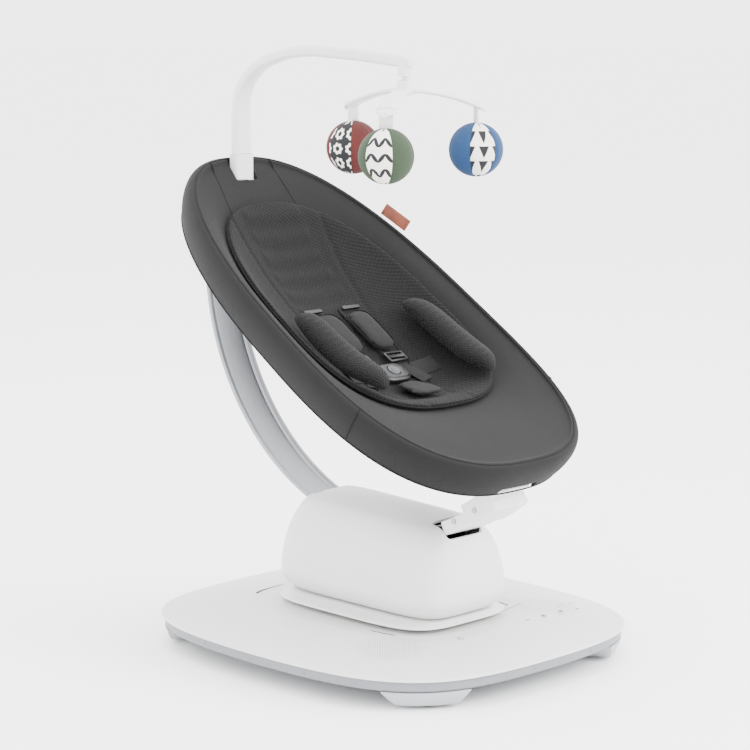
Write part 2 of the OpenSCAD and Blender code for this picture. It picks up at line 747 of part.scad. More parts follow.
module soft_pad(w, l, t) {
    hull() for (x = [-1, 1], y = [-1, 1], z = [0, 1])
        translate([x * (w / 2 - 4), y * (l / 2 - 4), 3 + z * (t - 6)]) sphere(3, $fn = 16);
}

module shoulder_pad(side) {
    color("dimgray") on_liner(side * pad_x, pad_y, pad_w, pad_l, strap_t + soft_gap)
        soft_pad(pad_w, pad_l, pad_t);
}
module shoulder_pad_left() { shoulder_pad(-1); }
module shoulder_pad_right() { shoulder_pad(1); }

module harness_straps() {
    color("black") for (side = [-1, 1]) {
        on_liner(side * pad_x, pad_y, pad_w, pad_l)
            translate([-strap_w / 2, -pad_l / 2, 0]) cube([strap_w, pad_l, strap_t]);
        on_liner(side * waist_x, waist_y, waist_l, strap_w)
            translate([-waist_l / 2, -strap_w / 2, 0]) cube([waist_l, strap_w, strap_t]);
    }
}

module strap_adjusters() {
    w = 32;
    l = 18;
    t = 4;
    color("black") for (side = [-1, 1]) on_liner(side * adjust_x, adjust_y, w, l) difference() {
        translate([-w / 2, -l / 2, 0]) cube([w, l, t]);
        for (y = [-1, 1]) translate([-w / 2 + 3, y * 4 - 1.75, -1]) cube([w - 6, 3.5, t + 2]);
    }
}

button_r = 9;
button_travel = 2.5;

module buckle() {
    color("black") on_liner(0, buckle_y, 46, 34) difference() {
        union() {
            rounded_plate(46, 34, buckle_t - 3, 9);
            translate([0, 0, buckle_t - 3.5]) rounded_plate(40, 28, 3.5, 8);
        }
        translate([0, 0, 2]) cylinder(h = 20, r = button_r + fit_gap, $fn = 48);
    }
}

module buckle_button() {
    color("dimgray") on_liner(0, buckle_y, 46, 34)
        translate([0, 0, 2 + button_travel + 0.5])
            cylinder(h = buckle_t - button_travel - 1.5, r = button_r, $fn = 48);
}

module crotch_pad() {
    color("dimgray") on_liner(0, crotch_y, 56, 52) hull() {
        for (x = [-1, 1], z = [0, 1]) {
            translate([x * 14, 21, 3 + z * 3]) sphere(3, $fn = 16);
            translate([x * 24, -22, 3 + z * 3]) sphere(3, $fn = 16);
        }
    }
}

tag_w = 42;
tag_h = 16;
tag_y = 150;

// Half width of the rim at a place along the seat
function rim_x(y) = let (up = power_of(y / (seat_l / 2), seat_power / 2))
    power_of(sqrt(1 - up * up), 2 / seat_power) * seat_w / 2 * taper(up);

module side_tag() {
    t = 1.8;
    turn = atan2(rim_x(tag_y - 20) - rim_x(tag_y + 20), 40);
    color("sienna") in_seat() translate([rim_x(tag_y) - 3, tag_y, seat_bend(tag_y) + 1.2])
        rotate([0, 0, turn]) rotate([0, 16, 0]) translate([-t / 2, -tag_w / 2, 0]) cube([t, tag_w, tag_h]);
}

// ---- toy bar ----

socket_w = bar_w + 3;
socket_d = bar_t + 4;
plug_l = 26;
plug_r = 5.5;
socket_top_z = 603;

module toy_socket() {
    color("whitesmoke") translate([0, post_y, 0]) difference() {
        translate([0, 0, socket_top_z - plug_l - 6]) rounded_plate(socket_w, socket_d, plug_l + 6, 6);
        translate([0, 0, socket_top_z - plug_l]) cylinder(h = plug_l + 1, r = plug_r + slide_gap, $fn = 48);
    }
}

// The bar's centre line: up from the post, round and forward to the mobile
bar_end_w = 17;
bar_end_t = 15.5;
bar_line = [[post_y, socket_top_z + fit_gap], [post_y + 0.5, 640], [post_y - 1, 668], [post_y - 8, 690],
    [post_y - 22, 706], [post_y - 40, 719], [post_y - 64, bar_top_z - 11], [post_y - 98, bar_top_z - 3],
    [post_y - 136, bar_top_z], [(post_y + mobile_y) / 2, bar_top_z], [mobile_y + 80, bar_top_z - 3],
    [mobile_y + 40, bar_top_z - 6], [mobile_y - 12, bar_top_z - 10]];

function bar_section(i) = let (last = len(bar_line) - 1, before = bar_line[max(0, i - 1)],
    after = bar_line[min(last, i + 1)], d = (after - before) / norm(after - before), t = i / last,
    w = bar_w + (bar_end_w - bar_w) * pow(t, 0.8), h = bar_t + (bar_end_t - bar_t) * t, out = [-d.y, d.x])
        [for (j = [0 : 19]) let (q = square_point(j * 18, 4))
            [q.x * w / 2, bar_line[i].x + out.x * q.y * h / 2, bar_line[i].y + out.y * q.y * h / 2]];

boss_r = 11;
pin_r = 4.5;
pin_top_z = bar_top_z - 22;
cup_top_z = 707;

module toy_bar() {
    color("whitesmoke") {
        loft([for (i = [0 : len(bar_line) - 1]) backwards(bar_section(i))]);
        translate([0, post_y, socket_top_z - plug_l + 1]) cylinder(h = plug_l + 2, r = plug_r, $fn = 48);
        translate([0, mobile_y, pin_top_z]) cylinder(h = bar_top_z - 6 - pin_top_z, r = boss_r - 2, $fn = 48);
        translate([0, mobile_y, cup_top_z - 12]) cylinder(h = 24, r = pin_r, $fn = 48);
        translate([0, mobile_y, cup_top_z + fit_gap + 1]) cylinder(h = 3, r = pin_r + 2, $fn = 48);
        translate([0, mobile_y, cup_top_z - 13.5]) cylinder(h = 2.5, r = pin_r + 1.5, $fn = 48);
    }
}

// ---- mobile ----

hub_r = 12;
arm_z = 671;
arm_t = 4;
arm_r = 101;
ball_angles = [90, 210, 330];

module mobile_spider() {
    color("whitesmoke") translate([0, mobile_y, 0]) difference() {
        union() {
            translate([0, 0, cup_top_z - 18]) cylinder(h = 18, r1 = hub_r, r2 = 9.5, $fn = 64);
            for (a = ball_angles) rotate([0, 0, a]) arm();
        }
        translate([0, 0, cup_top_z - 10.8]) cylinder(h = 20, r = pin_r + slide_gap, $fn = 48);
        translate([0, 0, cup_top_z - 14]) cylinder(h = 3.3, r = pin_r + 1.5 + slide_gap, $fn = 48);
        for (a = ball_angles) rotate([0, 0, a])
            translate([ball_ring_r - slot_t / 2, -ribbon_w / 2 - 1, arm_z - 10])
                cube([slot_t, ribbon_w + 2, 30]);
    }
}

slot_t = 5;

// An arm curves down from the hub to a level, rounded tip
module arm() {
    steps = 8;
    rings = [for (i = [0 : steps]) let (t = i / steps, x = 4 + (arm_r - 4) * t,
        z = arm_z + 24 * pow(1 - t, 1.6), w = i == steps ? 7 : 9 + 3 * t, h = arm_t / 2)
            [[x, -w, z - h], [x, w, z - h], [x, w - 1, z + h], [x, -w + 1, z + h]]];
    loft(rings);
}

// A ribbon hangs through the slot in its arm, and its head rests on the arm
ribbon_t = 1.8;
head_z = arm_z + arm_t / 2 + 3.4;
ball_top_z = ball_z + ball_d / 2;

module ribbon(a) {
    color("whitesmoke") translate([0, mobile_y, 0]) rotate([0, 0, a]) translate([ball_ring_r, 0, 0]) {
        translate([-ribbon_t / 2, -ribbon_w / 2, ball_top_z - 1.5])
            cube([ribbon_t, ribbon_w, head_z - ball_top_z + 1.5]);
        translate([-2.8, -ribbon_w / 2 - 2.5, head_z]) cube([5.6, ribbon_w + 5, 2]);
    }
}
module ribbon_rear() { ribbon(ball_angles[0]); }
module ribbon_left() { ribbon(ball_angles[1]); }
module ribbon_right() { ribbon(ball_angles[2]); }

module ball(a, tint) {
    color(tint) translate([0, mobile_y, ball_z]) rotate([0, 0, a]) translate([ball_ring_r, 0, 0])
        difference() {
            sphere(ball_d / 2, $fn = 64);
            translate([-ribbon_t / 2 - plug_gap, -ribbon_w / 2 - plug_gap, ball_d / 2 - 1.6])
                cube([ribbon_t + 2 * plug_gap, ribbon_w + 2 * plug_gap, 5]);
        }
}
module ball_rear() { ball(ball_angles[0], "brown"); }
module ball_left() { ball(ball_angles[1], "darkolivegreen"); }
module ball_right() { ball(ball_angles[2], "steelblue"); }

// ---- electrics ----

power_r = 4;
audio_r = 3;
socket_gap = 24;
socket_l = 12;
socket_z = 29;

// The sockets sit in the rear band and face backwards
module at_sockets() {
    translate([-socket_gap / 2, base_d / 2 - band_inset, socket_z]) rotate([-90, 0, 0])
        translate([0, 0, -socket_l]) children();
}

module power_socket() {
    color("black") at_sockets() difference() {
        union() {
            cylinder(h = socket_l - 0.5, r = power_r, $fn = 48);
            translate([-6, -4.4, -6]) cube([12, 8.8, 6]);
        }
        translate([0, 0, 2]) cylinder(h = socket_l, r = power_r - 1.25, $fn = 48);
    }
}

module audio_socket() {
    color("black") at_sockets() translate([socket_gap, 0, 0]) difference() {
        union() {
            cylinder(h = socket_l - 0.5, r = audio_r, $fn = 48);
            translate([-5, -4.4, -6]) cube([10, 8.8, 6]);
        }
        translate([0, 0, 1]) cylinder(h = socket_l, r = 1.8, $fn = 48);
    }
}

module control_board() {
    board_y = base_d / 2 - 135;
    color("seagreen") {
        translate([-40, board_y, floor_z + 4]) cube([80, 42, 1.6]);
        for (x = [-1, 1], y = [0, 1]) translate([x * 34, board_y + 6 + y * 30, floor_z])
            cylinder(h = 4, r = 3, $fn = 32);
    }
}

module speaker(side) {
    color("dimgray") translate([side * 138, -136, band_z + base_wall]) {
        cylinder(h = 6, r = 20, $fn = 48);
        translate([0, 0, 6]) cylinder(h = 6, r1 = 20, r2 = 27, $fn = 48);
    }
}
module speaker_left() { speaker(-1); }
module speaker_right() { speaker(1); }

// Touch circuit on a flat carrier under the cover, below the printed symbols
module touch_panel() {
    color("black") translate([-60, -base_d / 2 + 84, cover_under_z - 13]) cube([200, 26, 1.2]);
}

placed() base_pan();
placed() base_cover();
placed() leg_front_left();
placed() leg_front_right();
placed() leg_rear_left();
placed() leg_rear_right();
placed() foot_pads();
placed() sway_rails();
placed() rail_mounts();
placed() sway_motor();
placed() sway_pinion();
placed() control_board();
placed() speaker_left();
placed() speaker_right();
placed() touch_panel();
placed() power_socket();
placed() audio_socket();
placed() base_screws();
placed() carriage_frame();
placed() rail_bushes();
placed() sway_rack();
placed() slot_cover();
placed() inner_column();
placed() lift_posts();
placed() lift_motor();
placed() lift_pinion();
placed() tower_shell();
placed() head_frame();
placed() lift_bushes();
placed() lift_rack();
placed() bow_glides();
placed() lock_lever();
placed() bow_rail();
placed() head_clip();
placed() foot_clip();
placed() clip_screws();
placed() seat_ring();
placed() seat_cover();
placed() seat_liner();
placed() bolster_left();
placed() bolster_right();
placed() harness_straps();
placed() shoulder_pad_left();
placed() shoulder_pad_right();
placed() strap_adjusters();
placed() crotch_pad();
placed() buckle();
placed() buckle_button();
placed() side_tag();
placed() toy_socket();
placed() toy_bar();
placed() mobile_spider();
placed() ribbon_rear();
placed() ball_rear();
placed() ribbon_left();
placed() ball_left();
placed() ribbon_right();
placed() ball_right();
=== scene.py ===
import json
import math
import bmesh
import bpy
from mathutils import Matrix, Vector, noise

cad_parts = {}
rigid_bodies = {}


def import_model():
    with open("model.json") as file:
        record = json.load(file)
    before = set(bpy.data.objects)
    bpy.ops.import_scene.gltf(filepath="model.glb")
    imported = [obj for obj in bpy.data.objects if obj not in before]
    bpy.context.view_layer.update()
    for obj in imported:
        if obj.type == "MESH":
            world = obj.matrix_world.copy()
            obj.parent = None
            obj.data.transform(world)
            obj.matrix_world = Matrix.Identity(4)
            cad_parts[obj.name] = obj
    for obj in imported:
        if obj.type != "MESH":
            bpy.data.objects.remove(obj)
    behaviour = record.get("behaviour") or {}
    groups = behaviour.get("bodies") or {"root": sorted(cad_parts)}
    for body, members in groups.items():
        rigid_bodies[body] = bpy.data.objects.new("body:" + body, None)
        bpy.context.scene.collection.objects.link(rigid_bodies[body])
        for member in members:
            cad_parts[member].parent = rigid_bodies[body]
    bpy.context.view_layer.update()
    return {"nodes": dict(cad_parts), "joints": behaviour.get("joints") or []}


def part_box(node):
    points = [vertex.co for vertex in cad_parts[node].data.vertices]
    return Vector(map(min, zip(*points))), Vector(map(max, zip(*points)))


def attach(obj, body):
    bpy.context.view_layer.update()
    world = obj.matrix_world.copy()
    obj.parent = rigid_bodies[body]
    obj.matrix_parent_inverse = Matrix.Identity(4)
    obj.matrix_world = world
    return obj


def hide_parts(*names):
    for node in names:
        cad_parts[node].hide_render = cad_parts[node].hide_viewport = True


for stray in list(bpy.data.objects):  # the cube, light and camera of a new file
    bpy.data.objects.remove(stray, do_unlink=True)
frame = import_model()
nodes = frame["nodes"]
mm = 0.001
print("frame loaded,", len(nodes), "nodes")

# camera

cameraSetup = {
    "place": (-2.1134, -2.1180, 0.8386),
    "right": (0.7085, -0.7057, 0.0),
    "up": (0.1159, 0.1163, 0.9864),
    "lens": 116.8,
    "sensor": 36.0,
}


def makeCamera(setup):
    clearPick()
    bpy.ops.object.camera_add(location=setup["place"])
    camera = bpy.context.active_object
    right, up = Vector(setup["right"]).normalized(), Vector(setup["up"]).normalized()
    back = right.cross(up)
    camera.rotation_euler = Matrix((right, up, back)).transposed().to_euler()
    camera.data.lens = setup["lens"]
    camera.data.sensor_width = setup["sensor"]
    camera.data.clip_start, camera.data.clip_end = 0.05, 60
    bpy.context.scene.camera = camera


def clearPick():
    if bpy.context.mode != "OBJECT":
        bpy.ops.object.mode_set(mode="OBJECT")
    bpy.ops.object.select_all(action="DESELECT")


def pickOnly(piece):
    clearPick()
    piece.select_set(True)
    bpy.context.view_layer.objects.active = piece


# small helpers for shader nodes

def tint(r, g, b):  # screen colour 0..255 to the linear values that Blender wants
    def one(c):
        c = c / 255
        return c / 12.92 if c <= 0.04045 else ((c + 0.055) / 1.055) ** 2.4
    return (one(r), one(g), one(b), 1.0)


def blankFinish(name):
    mat = bpy.data.materials.new(name)
    mat.use_nodes = True
    tree = mat.node_tree
    shader = tree.nodes["Principled BSDF"]
    return mat, tree, shader


def node(tree, kind, at=None, **values):
    made = tree.nodes.new(kind)
    for key, value in values.items():
        setattr(made, key, value)
    for key, value in (at or {}).items():
        made.inputs[key].default_value = value
    return made


def math2(tree, what, a, b=None, c=None):
    made = node(tree, "ShaderNodeMath", operation=what)
    for i, v in enumerate((a, b, c)):
        if v is None:
            continue
        if isinstance(v, (int, float)):
            made.inputs[i].default_value = v
        else:
            tree.links.new(v, made.inputs[i])
    return made.outputs[0]


def ramp(tree, value, stops):
    made = node(tree, "ShaderNodeValToRGB")
    band = made.color_ramp
    while len(band.elements) < len(stops):
        band.elements.new(0.5)
    for el, (pos, col) in zip(band.elements, stops):
        el.position, el.color = pos, col
    tree.links.new(value, made.inputs[0])
    return made.outputs[0]


def placeCoords(tree, shift=(0, 0, 0), turn=(0, 0, 0)):  # object coordinates, moved and then turned
    coords = node(tree, "ShaderNodeTexCoord")
    move = node(tree, "ShaderNodeMapping", {"Location": [-v for v in shift]})
    spin = node(tree, "ShaderNodeMapping", {"Rotation": turn})
    tree.links.new(coords.outputs["Object"], move.inputs["Vector"])
    tree.links.new(move.outputs[0], spin.inputs["Vector"])
    return spin.outputs[0]


def axesOf(tree, coords):
    parts = node(tree, "ShaderNodeSeparateXYZ")
    tree.links.new(coords, parts.inputs[0])
    return parts.outputs


def times(tree, a, b):
    return math2(tree, "MULTIPLY", a, b)


def plus(tree, a, b):
    return math2(tree, "ADD", a, b)


def minus(tree, a, b):
    return math2(tree, "SUBTRACT", a, b)


def hypot(tree, a, b):
    return math2(tree, "SQRT", plus(tree, times(tree, a, a), times(tree, b, b)))


def mixColours(tree, factor, a, b):  # a colour or a socket each
    mix = node(tree, "ShaderNodeMix", data_type="RGBA")
    tree.links.new(factor, mix.inputs["Factor"])
    for key, value in (("A", a), ("B", b)):
        if isinstance(value, tuple):
            mix.inputs[key].default_value = value
        else:
            tree.links.new(value, mix.inputs[key])
    return mix.outputs["Result"]


def bump(tree, shader, height, distance, strength=1.0, after=None):
    made = node(tree, "ShaderNodeBump", {"Strength": strength, "Distance": distance})
    tree.links.new(height, made.inputs["Height"])
    if after is not None:
        tree.links.new(after, made.inputs["Normal"])
    tree.links.new(made.outputs[0], shader.inputs["Normal"])
    return made.outputs[0]


def speckle(tree, coords, scale, detail=3.0, rough=0.5):
    made = node(tree, "ShaderNodeTexNoise", {"Scale": scale, "Detail": detail, "Roughness": rough})
    tree.links.new(coords, made.inputs["Vector"])
    return made.outputs[0]


# materials

def moulded(name, rgb, rough=0.42, grain=900, depth=0.00004, spread=5):
    mat, tree, shader = blankFinish(name)
    coords = placeCoords(tree)
    cloudy = speckle(tree, coords, 7.0, 4.0)
    light = tint(*[min(255, c + spread * 0.5) for c in rgb])
    dark = tint(*[c - spread * 0.5 for c in rgb])
    tree.links.new(ramp(tree, cloudy, [(0.3, dark), (0.7, light)]), shader.inputs["Base Color"])
    spark = speckle(tree, coords, grain, 2.0)
    roughness = node(tree, "ShaderNodeMapRange", {"To Min": rough - 0.05, "To Max": rough + 0.05})
    tree.links.new(speckle(tree, coords, 60, 5.0), roughness.inputs["Value"])
    tree.links.new(roughness.outputs[0], shader.inputs["Roughness"])
    bump(tree, shader, spark, depth, 0.6)
    shader.inputs["IOR"].default_value = 1.46
    return mat


def brushedMetal(name, rgb, rough=0.3, stretch=(1, 60, 60)):
    mat, tree, shader = blankFinish(name)
    coords = node(tree, "ShaderNodeTexCoord")
    scaled = node(tree, "ShaderNodeMapping", {"Scale": stretch})
    tree.links.new(coords.outputs["Object"], scaled.inputs["Vector"])
    lines = speckle(tree, scaled.outputs[0], 40, 4.0)
    dark, light = tint(*[c * 0.93 for c in rgb]), tint(*[min(255, c * 1.05) for c in rgb])
    tree.links.new(ramp(tree, lines, [(0.3, dark), (0.7, light)]), shader.inputs["Base Color"])
    shader.inputs["Metallic"].default_value = 1.0
    roughness = node(tree, "ShaderNodeMapRange", {"To Min": rough - 0.06, "To Max": rough + 0.08})
    tree.links.new(lines, roughness.inputs["Value"])
    tree.links.new(roughness.outputs[0], shader.inputs["Roughness"])
    bump(tree, shader, lines, 0.00003, 0.5)
    return mat


seatPlace = {"y": 3.8 * mm, "z": 430 * mm, "tilt": math.radians(32.6)}


def seatCoords(tree):  # x across the seat, y along it, z out of the rim's plane
    return placeCoords(tree, (0, seatPlace["y"], seatPlace["z"]), (-seatPlace["tilt"], 0, 0))


def startCloth(name):
    mat, tree, shader = blankFinish(name)
    coords = seatCoords(tree)
    return mat, tree, shader, coords, axesOf(tree, coords)


def shade(tree, shader, value, rgb, spread, low, high):  # from a darker to a lighter tone along a value
    dark, light = tint(*[max(0, c - spread) for c in rgb]), tint(*[c + spread for c in rgb])
    tree.links.new(ramp(tree, value, [(low, dark), (high, light)]), shader.inputs["Base Color"])


def feel(shader, rough, sheen, sheenRough, specular):
    keys = ("Roughness", "Sheen Weight", "Sheen Roughness", "Specular IOR Level")
    for key, value in zip(keys, (rough, sheen, sheenRough, specular)):
        shader.inputs[key].default_value = value


def wovenCloth(name, rgb, pitch=0.0016, sheen=0.25, spread=12):
    mat, tree, shader, coords, (x, y, z) = startCloth(name)
    turnRate = 2 * math.pi / pitch
    across = math2(tree, "SINE", times(tree, plus(tree, x, times(tree, z, 0.8)), turnRate))
    along = math2(tree, "SINE", times(tree, minus(tree, y, times(tree, z, 0.6)), turnRate))
    threads = times(tree, across, along)
    yarn = speckle(tree, coords, 420, 3.0, 0.6)
    cloudy = speckle(tree, coords, 16, 3.0)
    mixed = plus(tree, times(tree, threads, 0.16), times(tree, yarn, 0.35))
    mixed = plus(tree, mixed, times(tree, cloudy, 0.45))
    shade(tree, shader, mixed, rgb, spread, 0.12, 0.62)
    feel(shader, 0.9, sheen, 0.5, 0.25)
    first = bump(tree, shader, threads, 0.0002, 0.5)
    bump(tree, shader, yarn, 0.0003, 0.35, first)
    return mat


def herringboneCloth(name, rgb, rib=0.0042, band=0.011, sheen=0.3, spread=13):
    mat, tree, shader, coords, (x, y, z) = startCloth(name)
    side = plus(tree, x, times(tree, z, 0.7))
    zig = math2(tree, "PINGPONG", y, band / 2)
    ribs = math2(tree, "SINE", times(tree, plus(tree, side, times(tree, zig, 0.9)), 2 * math.pi / rib))
    yarn = speckle(tree, coords, 380, 3.0, 0.6)
    cloudy = speckle(tree, coords, 14, 3.0)
    mixed = plus(tree, times(tree, ribs, 0.2), times(tree, yarn, 0.35))
    mixed = plus(tree, mixed, times(tree, cloudy, 0.4))
    shade(tree, shader, mixed, rgb, spread, 0.1, 0.75)
    feel(shader, 0.92, sheen, 0.45, 0.2)
    first = bump(tree, shader, ribs, 0.0005, 0.7)
    bump(tree, shader, yarn, 0.0002, 0.4, first)
    return mat


def dottedCloth(name, rgb, pitch=0.0065, sheen=0.25, spread=11):
    mat, tree, shader, coords, (x, y, z) = startCloth(name)
    across = math2(tree, "COSINE", times(tree, x, 2 * math.pi / pitch))
    along = math2(tree, "COSINE", times(tree, y, 2 * math.pi / pitch))
    dots = times(tree, across, along)
    yarn = speckle(tree, coords, 420, 3.0, 0.6)
    mixed = plus(tree, times(tree, dots, 0.22), times(tree, yarn, 0.8))
    shade(tree, shader, mixed, rgb, spread, 0.2, 0.65)
    feel(shader, 0.92, sheen, 0.5, 0.2)
    first = bump(tree, shader, dots, 0.0006, 0.6)
    bump(tree, shader, yarn, 0.0002, 0.4, first)
    return mat


def tannedLeather(name, rgb):
    mat, tree, shader = blankFinish(name)
    coords = placeCoords(tree)
    cells = node(tree, "ShaderNodeTexVoronoi", {"Scale": 900.0}, feature="DISTANCE_TO_EDGE")
    tree.links.new(coords, cells.inputs["Vector"])
    cloudy = speckle(tree, coords, 55, 5.0)
    dark, light = tint(*[c * 0.82 for c in rgb]), tint(*[c * 1.18 for c in rgb])
    tree.links.new(ramp(tree, cloudy, [(0.3, dark), (0.7, light)]), shader.inputs["Base Color"])
    shader.inputs["Roughness"].default_value = 0.55
    bump(tree, shader, cells.outputs["Distance"], 0.0002, 0.5)
    return mat


def speakerCover(name, rgb, speakers, pitch=0.0056, radius=0.056):  # holes drawn as grey dots of painted shade, fading out over each speaker
    mat = moulded(name, rgb, 0.38)
    tree = mat.node_tree
    shader = tree.nodes["Principled BSDF"]
    plain = shader.inputs["Base Color"].links[0].from_socket
    coords = node(tree, "ShaderNodeTexCoord").outputs["Object"]
    x, y, z = axesOf(tree, coords)
    holeShade = None
    for sx, sy in speakers:
        fromX, fromY = minus(tree, x, sx), minus(tree, y, sy)
        u = plus(tree, fromX, fromY)
        v = minus(tree, fromX, fromY)
        cu = minus(tree, math2(tree, "PINGPONG", u, pitch / 1.414), pitch / 2.828)
        cv = minus(tree, math2(tree, "PINGPONG", v, pitch / 1.414), pitch / 2.828)
        near = hypot(tree, cu, cv)
        reach = hypot(tree, fromX, fromY)
        size = times(tree, minus(tree, 1.0, math2(tree, "DIVIDE", reach, radius)), 0.0021)
        size = math2(tree, "MINIMUM", size, 0.00095)
        inside = math2(tree, "LESS_THAN", near, size)
        holeShade = inside if holeShade is None else math2(tree, "MAXIMUM", holeShade, inside)
    upward = axesOf(tree, node(tree, "ShaderNodeNewGeometry").outputs["Normal"])[2]
    holeShade = times(tree, holeShade, math2(tree, "GREATER_THAN", upward, 0.5))
    # the grey tint is painted shade standing in for the depth of the speaker holes
    tree.links.new(mixColours(tree, holeShade, plain, tint(120, 120, 122)), shader.inputs["Base Color"])
    return mat


def gorePaint(name, rgb, centre, lead, pattern, gores=6):
    mat, tree, shader = blankFinish(name)
    coords = placeCoords(tree, centre, (0, 0, -math.radians(lead)))
    x, y, z = axesOf(tree, coords)
    angle = math2(tree, "ARCTAN2", y, x)
    yarn = speckle(tree, coords, 700, 3.0, 0.6)
    dark, light = tint(*[c * 0.9 for c in rgb]), tint(*[min(255, c * 1.1) for c in rgb])
    cloth = ramp(tree, yarn, [(0.3, dark), (0.7, light)])
    panel = math2(tree, "LESS_THAN", math2(tree, "ABSOLUTE", angle), math.radians(180 / gores))
    cell = {"across": 1.9, "up": 56.0}  # how often a print repeats, per radian and per metre
    u, v = [minus(tree, math2(tree, "FRACT", plus(tree, times(tree, way, rate), 0.5)), 0.5)
            for way, rate in ((angle, cell["across"]), (z, cell["up"]))]
    if pattern == "petals":
        reach = hypot(tree, u, v)
        lobes = math2(tree, "COSINE", times(tree, math2(tree, "ARCTAN2", v, u), 7.0))
        edge = plus(tree, times(tree, lobes, 0.045), 0.37)
        ink = plus(tree, math2(tree, "GREATER_THAN", reach, edge), math2(tree, "LESS_THAN", reach, 0.17))
    elif pattern == "leaves":
        u = minus(tree, math2(tree, "ABSOLUTE", u), 0.25)
        long = times(tree, plus(tree, u, times(tree, v, 0.7)), 2.1)
        wide = times(tree, minus(tree, v, times(tree, u, 1.1)), 4.6)
        inside = plus(tree, times(tree, long, long), times(tree, wide, wide))
        ink = math2(tree, "LESS_THAN", inside, 0.9)
    else:
        up = plus(tree, v, 0.5)
        ink = math2(tree, "LESS_THAN", math2(tree, "ABSOLUTE", u), times(tree, up, 0.46))
        ink = times(tree, ink, math2(tree, "LESS_THAN", up, 0.84))
    printed = mixColours(tree, ink, tint(228, 226, 220), tint(34, 34, 36))
    tree.links.new(mixColours(tree, panel, cloth, printed), shader.inputs["Base Color"])
    feel(shader, 0.9, 0.06, 0.5, 0.2)
    bump(tree, shader, yarn, 0.0003, 0.5)
    return mat


postY = 250 * mm  # the toy bar's post
speakerPlaces = [(-138 * mm, -161 * mm), (138 * mm, -161 * mm)]
mobileY, ballHeight, ballReach, ballRadius = -48 * mm, 622 * mm, 90 * mm, 33.5 * mm


def ballCentre(angle):
    a = math.radians(angle)
    return (ballReach * math.cos(a), mobileY + ballReach * math.sin(a), ballHeight)


finishes = {
    "shellWhite": moulded("shellWhite", (212, 212, 211), 0.36),
    "coverWhite": speakerCover("coverWhite", (206, 206, 205), speakerPlaces),
    "bandGrey": moulded("bandGrey", (116, 119, 124), 0.4),
    "footGrey": moulded("footGrey", (158, 160, 164), 0.45),
    "padRubber": moulded("padRubber", (62, 63, 65), 0.75, 500, 0.0001),
    # black nylon for the frame parts, also worn by the lines of painted gap shade in the dish
    "nylonBlackAndGapShade": moulded("nylonBlackAndGapShade", (34, 34, 36), 0.5),
    "gearIvory": moulded("gearIvory", (214, 208, 190), 0.45),
    "bushIvory": moulded("bushIvory", (222, 218, 206), 0.4),
    "boardGreen": moulded("boardGreen", (38, 92, 66), 0.5),
    "motorCase": moulded("motorCase", (92, 94, 98), 0.45),
    "rodSteel": brushedMetal("rodSteel", (190, 192, 196), 0.24),
    "screwSteel": brushedMetal("screwSteel", (150, 152, 156), 0.3, (20, 20, 20)),
    "bowSilver": brushedMetal("bowSilver", (140, 142, 146), 0.34, (60, 1.5, 1.5)),
    "seatCloth": wovenCloth("seatCloth", (14, 14, 15), sheen=0.02, spread=4),
    "linerCloth": dottedCloth("linerCloth", (14, 14, 15), sheen=0.02, spread=4),
    "wingCloth": herringboneCloth("wingCloth", (20, 20, 21), sheen=0.03, spread=6),
    "padCloth": wovenCloth("padCloth", (18, 18, 19), 0.002, 0.03, 4),
    "webbingBlack": wovenCloth("webbingBlack", (19, 19, 20), 0.0022, 0.02, 5),
    "pipingDark": wovenCloth("pipingDark", (7, 7, 8), 0.0012, 0.0, 2),
    "buckleGrey": moulded("buckleGrey", (16, 16, 17), 0.4, spread=2),
    "buttonGrey": moulded("buttonGrey", (58, 59, 62), 0.42, spread=2),
    "tagLeather": tannedLeather("tagLeather", (112, 52, 32)),
    "ribbonWhite": wovenCloth("ribbonWhite", (214, 214, 212), 0.0014, 0.2, 8),
    "printGrey": moulded("printGrey", (112, 114, 118), 0.5),
    "ballRed": gorePaint("ballRed", (74, 32, 30), ballCentre(90), -170, "petals"),
    "ballGreen": gorePaint("ballGreen", (46, 58, 42), ballCentre(210), -152, "leaves"),
    "ballBlue": gorePaint("ballBlue", (30, 56, 92), ballCentre(330), -120, "triangles"),
}
print("finishes made,", len(finishes))


def wear(piece, finish):
    piece.data.materials.clear()
    piece.data.materials.append(finishes[finish])


nodeFinishes = {
    "padRubber": ["foot_pads"],
    "rodSteel": ["sway_rails", "lift_posts", "seat_ring"],
    "nylonBlackAndGapShade": ["rail_mounts", "carriage_frame", "head_frame", "lock_lever", "power_socket",
                   "audio_socket", "speaker_left", "speaker_right", "touch_panel"],
    "gearIvory": ["sway_pinion", "sway_rack", "lift_pinion", "lift_rack"],
    "bushIvory": ["rail_bushes", "lift_bushes", "bow_glides"],
    "boardGreen": ["control_board"],
    "motorCase": ["sway_motor", "lift_motor"],
    "screwSteel": ["base_screws", "clip_screws"],
    "shellWhite": ["inner_column", "toy_socket"],
}
for finish, names in nodeFinishes.items():
    for name in names:
        for each in nodes[name].material_slots:
            each.material = finishes[finish]
print("frame nodes finished")


# small helpers for shapes

def powerOf(v, p):
    return math.copysign(abs(v) ** p, v)


def softStep(lo, hi, v):
    t = min(1.0, max(0.0, (v - lo) / (hi - lo)))
    return t * t * (3 - 2 * t)


def between(rows, t):  # smooth curve through rows of numbers, t from 0 to 1 along the list
    last = len(rows) - 1
    u = min(last - 1e-9, max(0.0, t * last))
    i = int(u)
    f = u - i
    p0, p1, p2, p3 = rows[max(0, i - 1)], rows[i], rows[i + 1], rows[min(last, i + 2)]
    mixed = []
    for a, b, c, d in zip(p0, p1, p2, p3):
        square, cube = 2 * a - 5 * b + 4 * c - d, 3 * b - a - 3 * c + d
        mixed.append(0.5 * (2 * b + (c - a) * f + square * f * f + cube * f ** 3))
    return mixed


def around(count, rule):  # one value for each step of a full turn
    return [rule(2 * math.pi * i / count) for i in range(count)]


